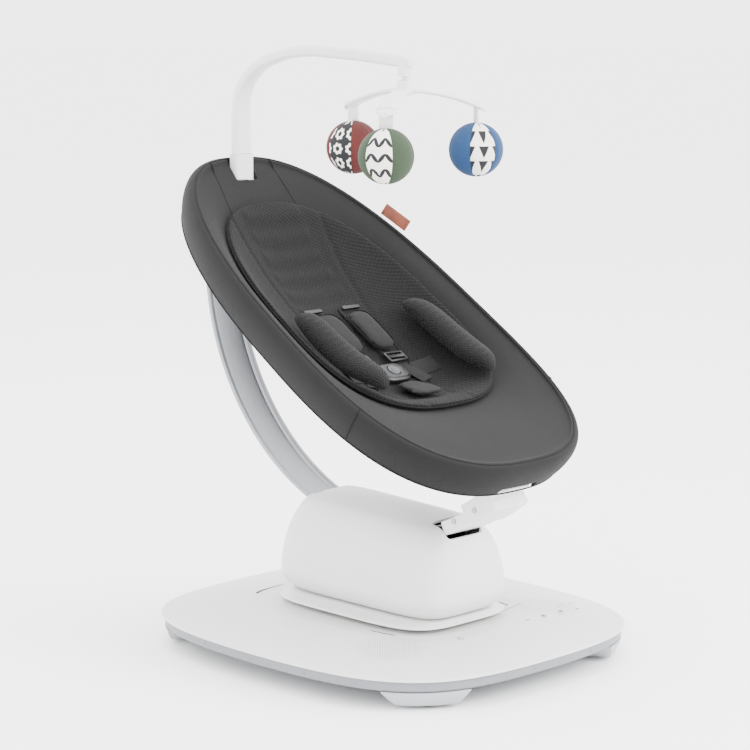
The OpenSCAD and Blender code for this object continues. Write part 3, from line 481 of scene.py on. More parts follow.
def growRings(name, rings, capStart=True, capEnd=True):  # a circle pulled out ring by ring in edit mode
    clearPick()
    count = len(rings[0])
    bpy.ops.mesh.primitive_circle_add(vertices=count, radius=0.1, location=(0, 0, 0))
    piece = bpy.context.active_object
    piece.name = name
    piece.data.name = name
    for v, p in zip(piece.data.vertices, rings[0]):
        v.co = p
    bpy.ops.object.mode_set(mode="EDIT")
    bpy.ops.mesh.select_mode(type="VERT")
    bpy.ops.mesh.select_all(action="SELECT")
    work = bmesh.from_edit_mesh(piece.data)
    around = work.verts.layers.int.new("around")
    work.verts.ensure_lookup_table()
    for v in work.verts:
        v[around] = v.index
    bmesh.update_edit_mesh(piece.data)
    if capStart:
        bpy.ops.mesh.edge_face_add()
        bpy.ops.mesh.select_all(action="SELECT")
        bpy.ops.mesh.select_mode(type="EDGE")
        bpy.ops.mesh.region_to_loop()
    for ring in rings[1:]:
        bpy.ops.mesh.extrude_edges_move()
        work = bmesh.from_edit_mesh(piece.data)
        around = work.verts.layers.int["around"]
        for v in work.verts:
            if v.select:
                v.co = ring[v[around]]
        bmesh.update_edit_mesh(piece.data)
    if capEnd:
        bpy.ops.mesh.edge_face_add()
    bpy.ops.mesh.select_all(action="SELECT")
    bpy.ops.mesh.normals_make_consistent(inside=False)
    bpy.ops.object.mode_set(mode="OBJECT")
    return piece


def joinLoop(piece):  # closes a tube whose last ring meets its first
    pickOnly(piece)
    bpy.ops.object.mode_set(mode="EDIT")
    bpy.ops.mesh.select_all(action="SELECT")
    bpy.ops.mesh.remove_doubles(threshold=0.000005)
    bpy.ops.mesh.normals_make_consistent(inside=False)
    bpy.ops.object.mode_set(mode="OBJECT")


def applyAll(piece):
    pickOnly(piece)
    for mod in list(piece.modifiers):
        bpy.ops.object.modifier_apply(modifier=mod.name)


def settle(piece):  # place, turn and size go into the mesh
    pickOnly(piece)
    bpy.ops.object.transform_apply(location=True, rotation=True, scale=True)


def soften(piece, levels=1):
    mod = piece.modifiers.new("smooth", "SUBSURF")
    mod.levels = mod.render_levels = levels
    applyAll(piece)
    shadeSoft(piece)


def roundEdges(piece, width, segments=3, angle=35):
    mod = piece.modifiers.new("edges", "BEVEL")
    mod.width, mod.segments, mod.limit_method, mod.angle_limit = width, segments, "ANGLE", math.radians(angle)
    applyAll(piece)


def shadeSoft(piece, angle=40):
    pickOnly(piece)
    bpy.ops.object.shade_smooth_by_angle(angle=math.radians(angle))


def cutWith(piece, cutter):
    mod = piece.modifiers.new("cut", "BOOLEAN")
    mod.operation, mod.solver, mod.object = "DIFFERENCE", "EXACT", cutter
    applyAll(piece)
    bpy.data.objects.remove(cutter)


def block(name, size, spot, turn=(0, 0, 0), bevel=0.0, segments=3):  # rounded, with its place in its mesh
    clearPick()
    bpy.ops.mesh.primitive_cube_add(size=1, location=spot, rotation=turn, scale=size)
    piece = bpy.context.active_object
    piece.name = name
    settle(piece)
    if bevel:
        bpy.ops.object.mode_set(mode="EDIT")
        bpy.ops.mesh.select_all(action="SELECT")
        bpy.ops.mesh.bevel(offset=bevel, segments=segments, profile=0.5, affect="EDGES")
        bpy.ops.object.mode_set(mode="OBJECT")
    shadeSoft(piece)
    return piece


def cylinder(radius, depth, spot, vertices=48):
    clearPick()
    bpy.ops.mesh.primitive_cylinder_add(vertices=vertices, radius=radius, depth=depth, location=spot)
    piece = bpy.context.active_object
    settle(piece)
    return piece


def torus(major, minor, steps, spot, turn=(0, 0, 0)):
    clearPick()
    bpy.ops.mesh.primitive_torus_add(major_radius=major, minor_radius=minor, major_segments=steps,
                                     minor_segments=6, location=spot, rotation=turn)
    piece = bpy.context.active_object
    settle(piece)
    return piece


def join(name, parts):
    clearPick()
    for p in parts:
        p.select_set(True)
    bpy.context.view_layer.objects.active = parts[0]
    if len(parts) > 1:
        bpy.ops.object.join()
    piece = bpy.context.active_object
    piece.name = name
    piece.data.name = name
    return piece


def tubeAlong(name, points, radius, sides=10, closed=False):  # piping and seams of cloth
    count = len(points)
    rings = []
    for i in range(count + (1 if closed else 0)):
        k = i % count
        before = points[(k - 1) % count] if closed or k > 0 else points[0]
        after = points[(k + 1) % count] if closed or k < count - 1 else points[-1]
        along = (after - before).normalized()
        side = Vector((0, 0, 1)).cross(along).normalized()
        up = along.cross(side)
        rings.append([points[k] + side * (radius * math.cos(2 * math.pi * j / sides))
                      + up * (radius * math.sin(2 * math.pi * j / sides)) for j in range(sides)])
    piece = growRings(name, rings, not closed, not closed)
    if closed:
        joinLoop(piece)
    shadeSoft(piece, 60)
    return piece


def movePoints(piece, change):  # moves each point of a finished mesh by a rule, as with a sculpting brush
    for v in piece.data.vertices:
        v.co = change(v.co)
    piece.data.update()


def place(piece, body, finish, slot, *replaced):
    wear(piece, finish)
    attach(piece, body)
    if replaced:
        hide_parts(*replaced)
    return piece


makeCamera(cameraSetup)

# base: cover, grey pan, legs, marks

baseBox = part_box("base_cover")
baseMidY = (baseBox[0].y + baseBox[1].y) / 2
base = {
    "halfWide": (baseBox[1].x - baseBox[0].x) / 2,
    "halfDeep": (baseBox[1].y - baseBox[0].y) / 2,
    "sideBow": 27 * mm,
    "endBow": 23 * mm,
    "corner": 5.0,
    "around": 120,
}


def squarePoint(angle, power):
    c, s = math.cos(angle), math.sin(angle)
    r = (abs(c) ** power + abs(s) ** power) ** (-1 / power)
    return r * c, r * s


def basePoint(angle, inset):
    x, y = squarePoint(angle, base["corner"])
    return (x * (base["halfWide"] - inset - base["sideBow"] * y * y),
            baseMidY + y * (base["halfDeep"] - inset - base["endBow"] * x * x))


def baseRing(inset, z):
    return around(base["around"], lambda a: Vector((*basePoint(a, inset), z)))


# how high the cover is, in mm, at each distance in from its edge
crownRows = [(0, 38.2), (4, 39), (20, 41.3), (40, 44.6), (60, 47.3), (85, 50.8), (110, 53), (300, 53)]
dish = {"halfX": 128 * mm, "halfY": 174 * mm, "power": 3.6, "first": 2.0 * mm, "second": 1.6 * mm}


def crownHeight(inset):
    for (a, za), (b, zb) in zip(crownRows, crownRows[1:]):
        if inset <= b:
            t = (inset - a) / (b - a)
            return (za + (zb - za) * (t * t * (3 - 2 * t) * 0.25 + t * 0.75)) * mm
    return crownRows[-1][1] * mm


def insetAt(x, y):
    qx = x / base["halfWide"]
    qy = (y - baseMidY) / base["halfDeep"]
    r = (abs(qx) ** base["corner"] + abs(qy) ** base["corner"]) ** (1 / base["corner"])
    return (1 - r) * (base["halfWide"] + base["halfDeep"]) / 2


def dishDepth(x, y):
    power = dish["power"]
    r = ((abs(x) / dish["halfX"]) ** power + (abs(y - baseMidY) / dish["halfY"]) ** power) ** (1 / power)
    return dish["first"] * (1 - softStep(0.9, 1.0, r)) + dish["second"] * (1 - softStep(0.8, 0.86, r))


def makeCoverTop():
    lip = [(12, 35), (6, 35), (0.8, 35), (0.1, 35.5), (0, 36.4), (0.2, 37.4), (0.9, 38.2), (2.2, 38.8)]
    insets = [4, 7, 11, 15, 20, 27, *range(34, 131, 8), 140, 152, 166, 182, 200]
    rings = [baseRing(i * mm, z * mm) for i, z in lip] + [baseRing(i * mm, crownHeight(i)) for i in insets]
    cover = growRings("coverTop", rings)
    soften(cover)
    movePoints(cover, lambda p: Vector((p.x, p.y, p.z - dishDepth(p.x, p.y))) if p.z > 0.04 else p)
    return place(cover, "base", "coverWhite", "white_shell", "base_cover")


def makePanBand():
    rows = [(70, 9), (58, 10.5), (54, 14), (52, 20), (44, 21.5), (12, 21.5), (6, 22), (4.4, 23.6), (4, 26),
            (4, 31), (4, 34.8), (8, 34.8)]
    pan = growRings("panBand", [baseRing(i * mm, z * mm) for i, z in rows])
    roundEdges(pan, 1.2 * mm, 2, 30)
    shadeSoft(pan)
    return place(pan, "base", "bandGrey", "grey_shell", "base_pan")


def makeLeg(name, sx, sy, replaced):
    def ring(z, outer, spread, depth):
        steps = 8
        turns = [math.radians(49 + spread * (2 * i / steps - 1)) for i in range(steps + 1)]
        loop = [basePoint(a, outer * mm) for a in turns]
        loop += [basePoint(a, (outer + depth) * mm) for a in turns[::-1]]
        made = [Vector((x * sx, baseMidY + (y - baseMidY) * sy, z * mm)) for x, y in loop]
        return made if sx * sy > 0 else made[::-1]

    rows = [(4, 11, 6.4, 26), (5, 9.6, 7, 30), (12, 6.6, 8.4, 38), (20, 4, 9.8, 44), (21.4, 4, 10, 44)]
    leg = growRings(name, [ring(*row) for row in rows])
    roundEdges(leg, 2.2 * mm, 4, 30)
    shadeSoft(leg)
    return place(leg, "base", "footGrey", "grey_shell", replaced)


def surfaceZ(x, y):
    return crownHeight(insetAt(x, y) / mm) - dishDepth(x, y)


symbols = {  # plain marks: rings, bars, dots and crosses, left to right along the front
    "row": [(-56, "power"), (-28, "dot"), (4, "bars"), (34, "note"), (64, "dots"), (94, "ring"), (126, "wave"),
            (157, "bars")],
    "y": -197 * mm,
    "lift": 0.12 * mm,
    "thick": 0.35 * mm,
}


def onCover(piece):  # lays a flat mark on the crowned cover
    movePoints(piece, lambda p: Vector((p.x, p.y, surfaceZ(p.x, p.y) + p.z)))
    return piece


def mark(kind, x, y):
    parts = []
    t, lift = symbols["thick"], symbols["lift"]

    def bar(dx, dy, w, h, turn=0.0):
        spot = (x + dx * mm, y + dy * mm, lift)
        parts.append(block("bar", (w * mm, h * mm, t), spot, (0, 0, turn), 0.1 * mm, 1))

    def ring(dx, dy, r):
        parts.append(torus(r * mm, 0.32 * mm, 28, (x + dx * mm, y + dy * mm, lift)))

    if kind == "power":
        ring(0, 0, 4.2)
        bar(0, 3.4, 0.8, 4.6)
    elif kind == "dot":
        ring(0, 0, 1.0)
    elif kind == "bars":
        for i, h in enumerate((2.4, 3.8, 5.4)):
            bar(-2.6 + 2.6 * i, h / 2 - 2.4, 0.9, h)
    elif kind == "note":
        bar(0, 0, 6.4, 0.8, 0.5)
        bar(0, 0, 6.4, 0.8, -0.5)
    elif kind == "dots":
        for i in (-3, 0, 3):
            ring(i, 0, 0.7)
    elif kind == "ring":
        ring(0, 0, 3.4)
        ring(0, 0, 1.2)
    else:
        for i, r in enumerate((1.6, 3.2)):
            ring(i * 0.6, 0, r)
    return parts


def makeSymbols():
    parts = []
    for x, kind in symbols["row"]:
        parts += mark(kind, x * mm, symbols["y"])
    for x, y, w in ((94, -142, 40), (150, -176, 15), (176, -172, 13)):  # guide lines behind the marks
        size, spot = (w * mm, 0.7 * mm, symbols["thick"]), (x * mm, y * mm, symbols["lift"])
        parts.append(block("bar", size, spot, (0, 0, 0.06), 0.1 * mm, 1))
    marks = join("coverMarks", parts)
    onCover(marks)
    return place(marks, "base", "printGrey", "grey_shell")


def makeGapShade():  # painted shade: dark lines in the dish along the gaps beside the plate round the tower
    edge = ((103.5, -92), (104.5, -101), (103.5, -116), (101, -131))
    lines = {"gapShadeRight": edge, "gapShadeLeft": [(-x, y) for x, y in edge],
             "gapShadeRear": ((-84, 134), (-70, 139), (-50, 142), (-30, 143))}
    for name, spots in lines.items():
        line = [Vector((x * mm, y * mm, surfaceZ(x * mm, y * mm) - 0.2 * mm)) for x, y in spots]
        # the black nylon finish on these lines is painted shade for the gaps, not a real part
        place(tubeAlong(name, line, 0.9 * mm, 8, False), "base", "nylonBlackAndGapShade", "grey_shell")


def makeBandDimples():
    parts = []
    for a in (200, 214, 228, 250, 262, 274, 290, 330, 350, 20, 160, 180):
        x, y = basePoint(math.radians(a), 4 * mm)
        outward = Vector((x, y - baseMidY, 0)).to_track_quat("Z", "Y").to_euler()
        parts.append(torus(1.5 * mm, 0.35 * mm, 20, (x, y, 28.5 * mm), outward))
    return place(join("bandDimples", parts), "base", "bandGrey", "grey_shell")


makeCoverTop()
makePanBand()
for end, sy in (("Front", -1), ("Rear", 1)):
    for side, sx in (("Left", -1), ("Right", 1)):
        makeLeg("leg" + end + side, sx, sy, "leg_" + end.lower() + "_" + side.lower())
makeGapShade()
makeSymbols()
makeBandDimples()
print("base shaped")

# plate round the neck, and the tower

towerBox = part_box("tower_shell")
tower = {
    "halfWide": 80 * mm,
    "halfDeep": 144 * mm,
    "low": towerBox[0].z,
    "high": 186 * mm,
    "drop": 9 * mm,
    "power": 5.2,
    "wall": 3 * mm,
    "rows": [(0, 0.825, 0.903), (0.05, 0.92, 0.958), (0.11, 0.975, 0.985), (0.18, 1, 1), (0.34, 0.985, 0.992),
             (0.52, 0.935, 0.97), (0.7, 0.84, 0.93), (0.83, 0.72, 0.885), (0.9, 0.63, 0.85), (0.95, 0.53, 0.8),
             (0.985, 0.36, 0.7)],  # height, width and depth, as shares
    "gate": (31.5 * mm, 98 * mm, 160 * mm),
}


def roundRing(w, d, z, power, count=96):
    return [Vector((x * w / 2 * mm, baseMidY + y * d / 2 * mm, z * mm))
            for x, y in around(count, lambda a: squarePoint(a, power))]


def makeApron():
    rows = [(140, 262, 53.8, 5), (182, 270, 55.2, 4.4), (186.4, 274.4, 55.2, 4.4), (188, 276, 55.6, 4.4),
            (188, 276, 56.6, 4.4), (187, 275.2, 57.3, 4.4), (183, 272.4, 58.2, 4.4), (170, 269, 59.2, 4.6),
            (156, 266.6, 60.2, 4.9), (150, 264.5, 61, 5), (141, 260, 62.1, 5), (132, 256, 62.9, 5)]
    apron = growRings("apronPlate", [roundRing(*row) for row in rows])
    soften(apron)
    for x, y, w, d in ((-70, 102, 56, 1.8), (84.5, -133.5, 1.8, 30)):  # vents at two edges
        cutter = block("vent", (w * mm, d * mm, 30 * mm), (x * mm, y * mm, 62 * mm), (0, 0, 0), 0.3 * mm, 1)
        cutWith(apron, cutter)
    shadeSoft(apron)
    return place(apron, "carriage", "shellWhite", "white_shell", "slot_cover")


def towerRing(t, inset=0.0, count=96):
    level, wide, deep = between(tower["rows"], t)
    height = tower["high"] - tower["low"]
    ring = []
    for x, y in around(count, lambda a: squarePoint(a, tower["power"])):
        sag = tower["drop"] * level ** 3 * (y * 0.5 - 0.25)
        px, py = x * (tower["halfWide"] * wide - inset), y * (tower["halfDeep"] * deep - inset)
        ring.append(Vector((px, baseMidY + py, tower["low"] + height * level + sag)))
    return ring


def makeTower():
    steps = 26
    rings = [towerRing(0, 8 * mm)] + [towerRing(i / steps) for i in range(steps + 1)]
    top = rings[-1]
    middle = Vector((0, baseMidY, max(p.z for p in top) + 1.2 * mm))
    for share in (0.82, 0.6, 0.36, 0.14):  # the roof closes in towards its middle
        rise = (1 - share * share) * 0.9
        rings.append([Vector((middle.x + (p.x - middle.x) * share, middle.y + (p.y - middle.y) * share,
                              p.z + (middle.z - p.z) * rise)) for p in top])
    shell = growRings("towerSkin", rings, False, True)
    mod = shell.modifiers.new("wall", "SOLIDIFY")
    mod.thickness, mod.offset = tower["wall"], -1
    applyAll(shell)
    wide, start, low = tower["gate"]
    for side in (-1, 1):
        spot = (0, baseMidY + side * (start + 45 * mm), low + 30 * mm)
        cutWith(shell, block("gate", (2 * wide, 90 * mm, 60 * mm), spot, (0, 0, 0), 6 * mm, 5))
    spot = (0, baseMidY + 144 * mm, 124 * mm)
    cutWith(shell, block("leverSlot", (36 * mm, 60 * mm, 20 * mm), spot, (0, 0, 0), 3 * mm, 3))
    shadeSoft(shell, 30)
    return place(shell, "tower", "shellWhite", "white_shell", "tower_shell")


makeApron()
makeTower()
print("tower shaped")

# bow rail and its two clips

recline = next(j for j in frame["joints"] if j["child"] == "seat")
bowMid = Vector(recline["pos_m"])
bow = {
    "outer": 319 * mm,
    "lip": 311 * mm,
    "floor": 3.5 * mm,
    "half": 28 * mm,
    "clipHalf": 30.5 * mm,
    "from": -126,
    "to": 15,
}


def bowPoint(x, r, degrees):
    a = math.radians(degrees)
    return Vector((x, bowMid.y + r * math.cos(a), bowMid.z + r * math.sin(a)))


def makeBow():
    w, out, lip = bow["half"], bow["outer"], bow["lip"]
    floor = out - bow["floor"]
    gutter = [(12, floor), (8.5, floor - 0.6 * mm), (6.2, lip + 1 * mm), (5, lip), (0.8, lip),
              (0, lip + 0.8 * mm)]
    back = [(0, out - 4 * mm), (1, out - 1.8 * mm), (4, out - 0.5 * mm), (12, out)]
    right = [(w - i * mm, r) for i, r in gutter + back]
    left = [(-x, r) for x, r in right]
    profile = left[5::-1] + [(0, floor)] + right + [(0, out)] + left[:5:-1]
    steps = 94
    angles = [bow["from"] + (bow["to"] - bow["from"]) * i / steps for i in range(steps + 1)]
    rail = growRings("bowRail", [[bowPoint(x, r, a) for x, r in profile] for a in angles])
    shadeSoft(rail, 35)
    return place(rail, "seat", "bowSilver", "bow_metal", "bow_rail")


def makeClip(name, bands, replaced, bevel):
    outer, inner = [], []
    for a0, a1, r0, r1 in bands:
        steps = max(2, int(abs(a1 - a0) / 1.5))
        turns = [a0 + (a1 - a0) * i / steps for i in range(steps + 1)]
        outer += [(r1 * mm, a) for a in turns]
        inner += [(r0 * mm, a) for a in turns]
    outline = outer + inner[::-1]
    half = bow["clipHalf"]
    clip = growRings(name, [[bowPoint(x, r, a) for r, a in outline] for x in (-half, half)])
    roundEdges(clip, bevel, 5, 50)
    shadeSoft(clip, 40)
    return place(clip, "seat", "shellWhite", "white_shell", replaced)


def shellCut(clip, angles):  # the rail's seat in a clip
    floor, top, half = bow["outer"] - 8.2 * mm, bow["outer"] + 0.2 * mm, bow["half"] + 0.2 * mm
    corners = ((-half, floor), (half, floor), (half, top), (-half, top))
    cutWith(clip, growRings("seatCut", [[bowPoint(x, r, a) for x, r in corners] for a in angles]))
    shadeSoft(clip, 40)


clipBands = {  # from and to, in degrees round the bow, then inner and outer radius in mm
    "head": [(7, 16, 303, 320.5), (16, 19.34, 303, 316)],
    "foot": [(-133.76, -131, 294, 306), (-131, -128.5, 299, 312), (-128.5, -119.5, 299, 327),
             (-119.5, -112, 308, 325)],
}
headClip = makeClip("headClip", clipBands["head"], "head_clip", 2.5 * mm)
footClip = makeClip("footClip", clipBands["foot"], "foot_clip", 2.5 * mm)
shellCut(headClip, [6 + 3.1 * i for i in range(4)])
shellCut(footClip, [-126 + 3.2 * i for i in range(6)])
makeBow()
print("bow shaped")

# seat shell; points are x across, s along the rim, n out of its plane

seatLength, seatWidth = 630 * mm, 365 * mm
pocketDepth, skirtDepth = 70 * mm, 48 * mm
seat = {
    "power": 2.57,
    "rows": [(0.94, -0.95, 0.95, 0.05), (0.83, -0.72, 0.86, 0.16), (0.74, -0.54, 0.73, 0.36),
             (0.63, -0.46, 0.6, 0.6), (0.48, -0.39, 0.46, 0.81), (0.31, -0.3, 0.32, 0.94),
             (0.12, -0.14, 0.17, 1.0)],  # the pocket's half width, low end, high end and depth, as shares
    "wall": [(6.6, -44), (3.6, -36), (1.2, -27), (0.1, -18), (0.5, -10.5), (2.2, -4.6), (4.8, -1.6), (8.2, -0.5)],
    "around": 108,
    "cover": 8 * mm,
    "liner": 11 * mm,
}


def seatPoint(x, s, n):
    c, d = math.cos(seatPlace["tilt"]), math.sin(seatPlace["tilt"])
    return Vector((x, seatPlace["y"] + s * c - n * d, seatPlace["z"] + s * d + n * c))


def seatLocal(p):
    c, d = math.cos(seatPlace["tilt"]), math.sin(seatPlace["tilt"])
    y, z = p.y - seatPlace["y"], p.z - seatPlace["z"]
    return p.x, y * c + z * d, -y * d + z * c


def seatBend(s):
    q = s / (seatLength / 2)
    return (8 * (q * q - 0.5) - 2.7 * (q ** 3 - 0.75 * q)) * mm


def taper(v):
    return 1 - 0.12 * v + 0.03 * (v * v - 0.5)


def ovalPoint(w, low, high, n, a):
    s = (low + high) / 2 + powerOf(math.sin(a), 2 / seat["power"]) * (high - low) / 2
    return powerOf(math.cos(a), 2 / seat["power"]) * w * taper(math.sin(a)), s, n + seatBend(s)


def rimPoint(inset, n, a):
    return seatPoint(*ovalPoint(seatWidth / 2 - inset, inset - seatLength / 2, seatLength / 2 - inset, n, a))


def rimRing(inset, n):
    return around(seat["around"], lambda a: rimPoint(inset * mm, n * mm, a))


def levelPoint(k, n, a, grow=0.0):  # k may fall between two levels
    w, low, high, depth = between(seat["rows"], k / (len(seat["rows"]) - 1))
    low, high = low * seatLength / 2 - grow, high * seatLength / 2 + grow
    return ovalPoint(w * seatWidth / 2 + grow, low, high, n - depth * pocketDepth, a)


def levelRing(k, n, grow=0.0):
    return around(seat["around"], lambda a: seatPoint(*levelPoint(k, n, a, grow)))


def levelReach(k, x, s):
    w, low, high, depth = between(seat["rows"], k / (len(seat["rows"]) - 1))
    mid, half = (low + high) / 2 * seatLength / 2, (high - low) / 2 * seatLength / 2
    t = (s - mid) / half
    wide = w * seatWidth / 2 * taper(min(1, max(-1, t)))
    return ((abs(x) / wide) ** seat["power"] + abs(t) ** seat["power"]) ** (1 / seat["power"])


def pocketN(x, s):  # depth of the pocket's floor under a point
    lo, hi = 0.0, len(seat["rows"]) - 1.0
    if levelReach(lo, x, s) > 1:
        return seatBend(s) - between(seat["rows"], 0)[3] * pocketDepth
    for _ in range(18):
        mid = (lo + hi) / 2
        if levelReach(mid, x, s) < 1:
            lo = mid
        else:
            hi = mid
    return seatBend(s) - between(seat["rows"], lo / (len(seat["rows"]) - 1))[3] * pocketDepth


def makeSeatCover():
    last = len(seat["rows"]) - 1
    under = [levelRing(last * (1 - i / 11) + 1.0 * (i / 11), -seat["cover"]) for i in range(12)]
    hidden = [(26, -13), (14, -12.5), (11, -16), (10.6, -32), (10.8, -47.2), (10, -48), (8.4, -47.6)]
    sides = [rimRing(*row) for row in hidden + seat["wall"] + [(9.4, -1.1), (10.6, -0.5), (13, 0)]]
    inside = [levelRing(last * i / 24, 0) for i in range(25)]
    cover = growRings("seatShell", under + sides + inside)
    soften(cover)

    def slack(p):  # a little unevenness in the side wall's cloth
        x, s, n = seatLocal(p)
        if n < seatBend(s) - 6 * mm and insetRim(x, s) < 12 * mm:
            p = p + Vector((noise.noise(p * 9) * 0.5 * mm, 0, 0))
        return p

    movePoints(cover, slack)
    spot = (0, postY, seatPlace["z"] + 200 * mm)
    cutWith(cover, block("socketRoom", (36 * mm, 24 * mm, 400 * mm), spot, (0, 0, 0), 2 * mm, 2))
    for end in (-1, 1):
        cutter = block("clipRoom", (64 * mm, 60 * mm, 24 * mm), (0, 0, 0), (0, 0, 0), 3 * mm, 2)
        movePoints(cutter, lambda p: seatPoint(p.x, p.y + end * seatLength / 2, p.z - skirtDepth + 4 * mm))
        cutWith(cover, cutter)
    shadeSoft(cover, 50)
    place(cover, "seat", "seatCloth", "seat_fabric", "seat_cover")
    return cover


def insetRim(x, s):
    t = min(1, max(-1, s / (seatLength / 2)))
    wide = seatWidth / 2 * taper(t)
    r = ((abs(x) / wide) ** seat["power"] + abs(t) ** seat["power"]) ** (1 / seat["power"])
    return (1 - r) * (wide + seatLength / 2) / 2


def sewn(name, points, radius, slot="seat_fabric", closed=False, sides=8):  # a seam or welt laid along a line
    return place(tubeAlong(name, points, radius, sides, closed), "seat", "pipingDark", slot)


def coverN(x, s):  # height of the seat's upper cloth under a point
    return seatBend(s) if insetRim(x, s) < 16 * mm else pocketN(x, s)


def makeRimPiping():
    for name, inset, n, radius in (("rimWelt", 9.4, -0.75, 0.9), ("skirtHem", 8.2, -47.4, 1.0)):
        sewn(name, around(200, lambda a: rimPoint(inset * mm, n * mm, a)), radius * mm, closed=True)
    for side, name in ((-1, "Left"), (1, "Right")):  # panel seams in the side wall, and at the head
        a = math.radians(270 + side * 62)
        sewn("wallSeam" + name, [rimPoint(i * mm, n * mm, a) for i, n in seat["wall"]], 0.6 * mm)
        line = [(side * (50 + 14 * i / 16) * mm, (300 - 128 * i / 16) * mm) for i in range(17)]
        sewn("headSeam" + name, [seatPoint(x, s, coverN(x, s) - 0.3 * mm) for x, s in line], 0.9 * mm)


makeSeatCover()
makeRimPiping()
print("seat shell shaped")


# insert with its bolsters

def linerTop(x, s, lift=0.0):
    return pocketN(x, s) + 0.8 * mm + seat["liner"] + lift


def makeLiner():
    last = len(seat["rows"]) - 1
    under = [levelRing(last - (last - 2) * i / 10, 0.9 * mm) for i in range(11)]
    edge = [levelRing(2, 3 * mm, 1.5 * mm), levelRing(2, 6 * mm, 2.2 * mm), levelRing(2, 9 * mm, 1.6 * mm)]
    over = [levelRing(2 + (last - 2) * i / 20, (11.4 if i else 10.5) * mm) for i in range(21)]
    liner = growRings("seatPad", under + edge + over)
    soften(liner)
    quilt = {"rib": 30 * mm, "puff": 1.6 * mm, "seam": 1.8 * mm}

    def puff(p):  # rows of padding on the back panel, with a sewn groove on each side of it
        x, s, n = seatLocal(p)
        if n < pocketN(x, s) + 6 * mm:
            return p
        centre = 1 - softStep(44 * mm, 50 * mm, abs(x))
        rise = centre * quilt["puff"] * (0.5 + 0.5 * math.cos(2 * math.pi * s / quilt["rib"]))
        groove = math.exp(-((abs(x) - (50 * mm + 0.1 * (s + 0.05))) / (2.6 * mm)) ** 2) * quilt["seam"]
        fold = math.exp(-((s - (-20 * mm + 0.35 * abs(x))) / (3.4 * mm)) ** 2) * 1.4 * mm
        fold *= softStep(52 * mm, 60 * mm, abs(x))
        lift = rise - groove - fold + noise.noise(Vector((x, s, 0)) * 22) * 0.8 * mm
        return p + (seatPoint(0, 0, lift) - seatPoint(0, 0, 0))

    movePoints(liner, puff)
    shadeSoft(liner, 60)
    place(liner, "seat", "linerCloth", "liner_fabric", "seat_liner")
    line = around(140, lambda a: seatPoint(*levelPoint(2, 6.2 * mm, a, 2.4 * mm)))
    sewn("padPiping", line, 1.1 * mm, "liner_fabric", True)
    for side, name in ((-1, "Left"), (1, "Right")):
        line = []
        for i in range(-96, 160, 8):
            s = i * mm
            line.append(seatPoint(side * (50 * mm + 0.1 * (s + 0.05)), s, linerTop(side * 50 * mm, s, -1.0 * mm)))
        sewn("padSeam" + name, line, 0.8 * mm, "liner_fabric")
    return liner


def simulatePuff(piece, voxel, pressure, cap, frames=20):  # blown up a little as cloth, then held to a limit
    pickOnly(piece)
    mod = piece.modifiers.new("even", "REMESH")
    mod.mode, mod.voxel_size = "VOXEL", voxel
    applyAll(piece)
    start = [v.co.copy() for v in piece.data.vertices]
    cloth = piece.modifiers.new("cloth", "CLOTH")
    cloth.settings.use_pressure = True
    cloth.settings.uniform_pressure_force = pressure
    cloth.settings.effector_weights.gravity = 0
    cloth.settings.quality = 5
    scene = bpy.context.scene
    for i in range(1, frames + 1):
        scene.frame_set(i)
    applyAll(piece)
    scene.frame_set(1)
    for v, p in zip(piece.data.vertices, start):
        step = v.co - p
        if step.length > cap:
            v.co = p + step.normalized() * cap
    mod = piece.modifiers.new("calm", "SMOOTH")
    mod.factor, mod.iterations = 0.5, 4
    applyAll(piece)
    soften(piece)


def makeBolster(side, name, replaced):
    rings = []
    steps = 24
    for i in range(steps + 1):
        t = i / steps
        s = -140 * mm + 170 * mm * t
        r = 15.5 * mm * math.sqrt(max(0.06, 1 - (2 * t - 1) ** 4))
        x = 93 * mm + 6 * mm * math.sin(math.pi * t)
        n = pocketN(x + 10 * mm, s) + 11.8 * mm + r + 3 * mm
        rings.append(around(16, lambda a: seatPoint(side * (x + math.cos(a) * r * 1.25), s, n + math.sin(a) * r)))
    bolster = growRings(name, rings)
    simulatePuff(bolster, 4 * mm, 4.0, 4 * mm)
    place(bolster, "seat", "wingCloth", "liner_fabric", replaced)
    return bolster


makeLiner()
makeBolster(-1, "bolsterLeft", "bolster_left")
makeBolster(1, "bolsterRight", "bolster_right")
print("liner and bolsters shaped")

# harness

harness = {
    "strap": (25 * mm, 1.6 * mm),
    "pad": (27 * mm, 8 * mm, 44 * mm, 76 * mm, 9 * mm),
    "waist": (60 * mm, -68 * mm, 34 * mm),
    "adjust": (30 * mm, -43 * mm, 32 * mm, 18 * mm, 4 * mm),
    "buckleS": -72 * mm,
}


def slopeOf(x, s, length):
    return (pocketN(x, s + length / 2) - pocketN(x, s - length / 2)) / length


def clearN(x, s, w, length, slope):
    spots = [(i * w / 2, j * length / 2) for i in (-1, 0, 1) for j in (-1, -0.5, 0, 0.5, 1)]
    return max(pocketN(x + i, s + j) - slope * j for i, j in spots) + seat["liner"] + 1.6 * mm


def layOn(piece, x, s, w, length, extra=0.0):  # a flat piece made at the origin, laid on the liner
    slope = slopeOf(x, s, length)
    foot = clearN(x, s, w, length, slope) + extra
    c, d = math.cos(math.atan(slope)), math.sin(math.atan(slope))
    movePoints(piece, lambda p: seatPoint(x + p.x, s + p.y * c - p.z * d, foot + p.y * d + p.z * c))
    return piece


def softPad(name, w, length, t, narrow=1.0):
    rings = []
    for share, inset in ((0, 7), (0.06, 3), (0.25, 0.8), (0.5, 0), (0.75, 0.8), (0.94, 3.4), (1, 8)):
        ring = []
        for px, py in around(40, lambda a: squarePoint(a, 4.2)):
            side = 1 - (1 - narrow) * (py + 1) / 2
            ring.append(Vector((px * (w / 2 - inset * mm) * side, py * (length / 2 - inset * mm), share * t)))
        rings.append(ring)
    return growRings(name, rings)


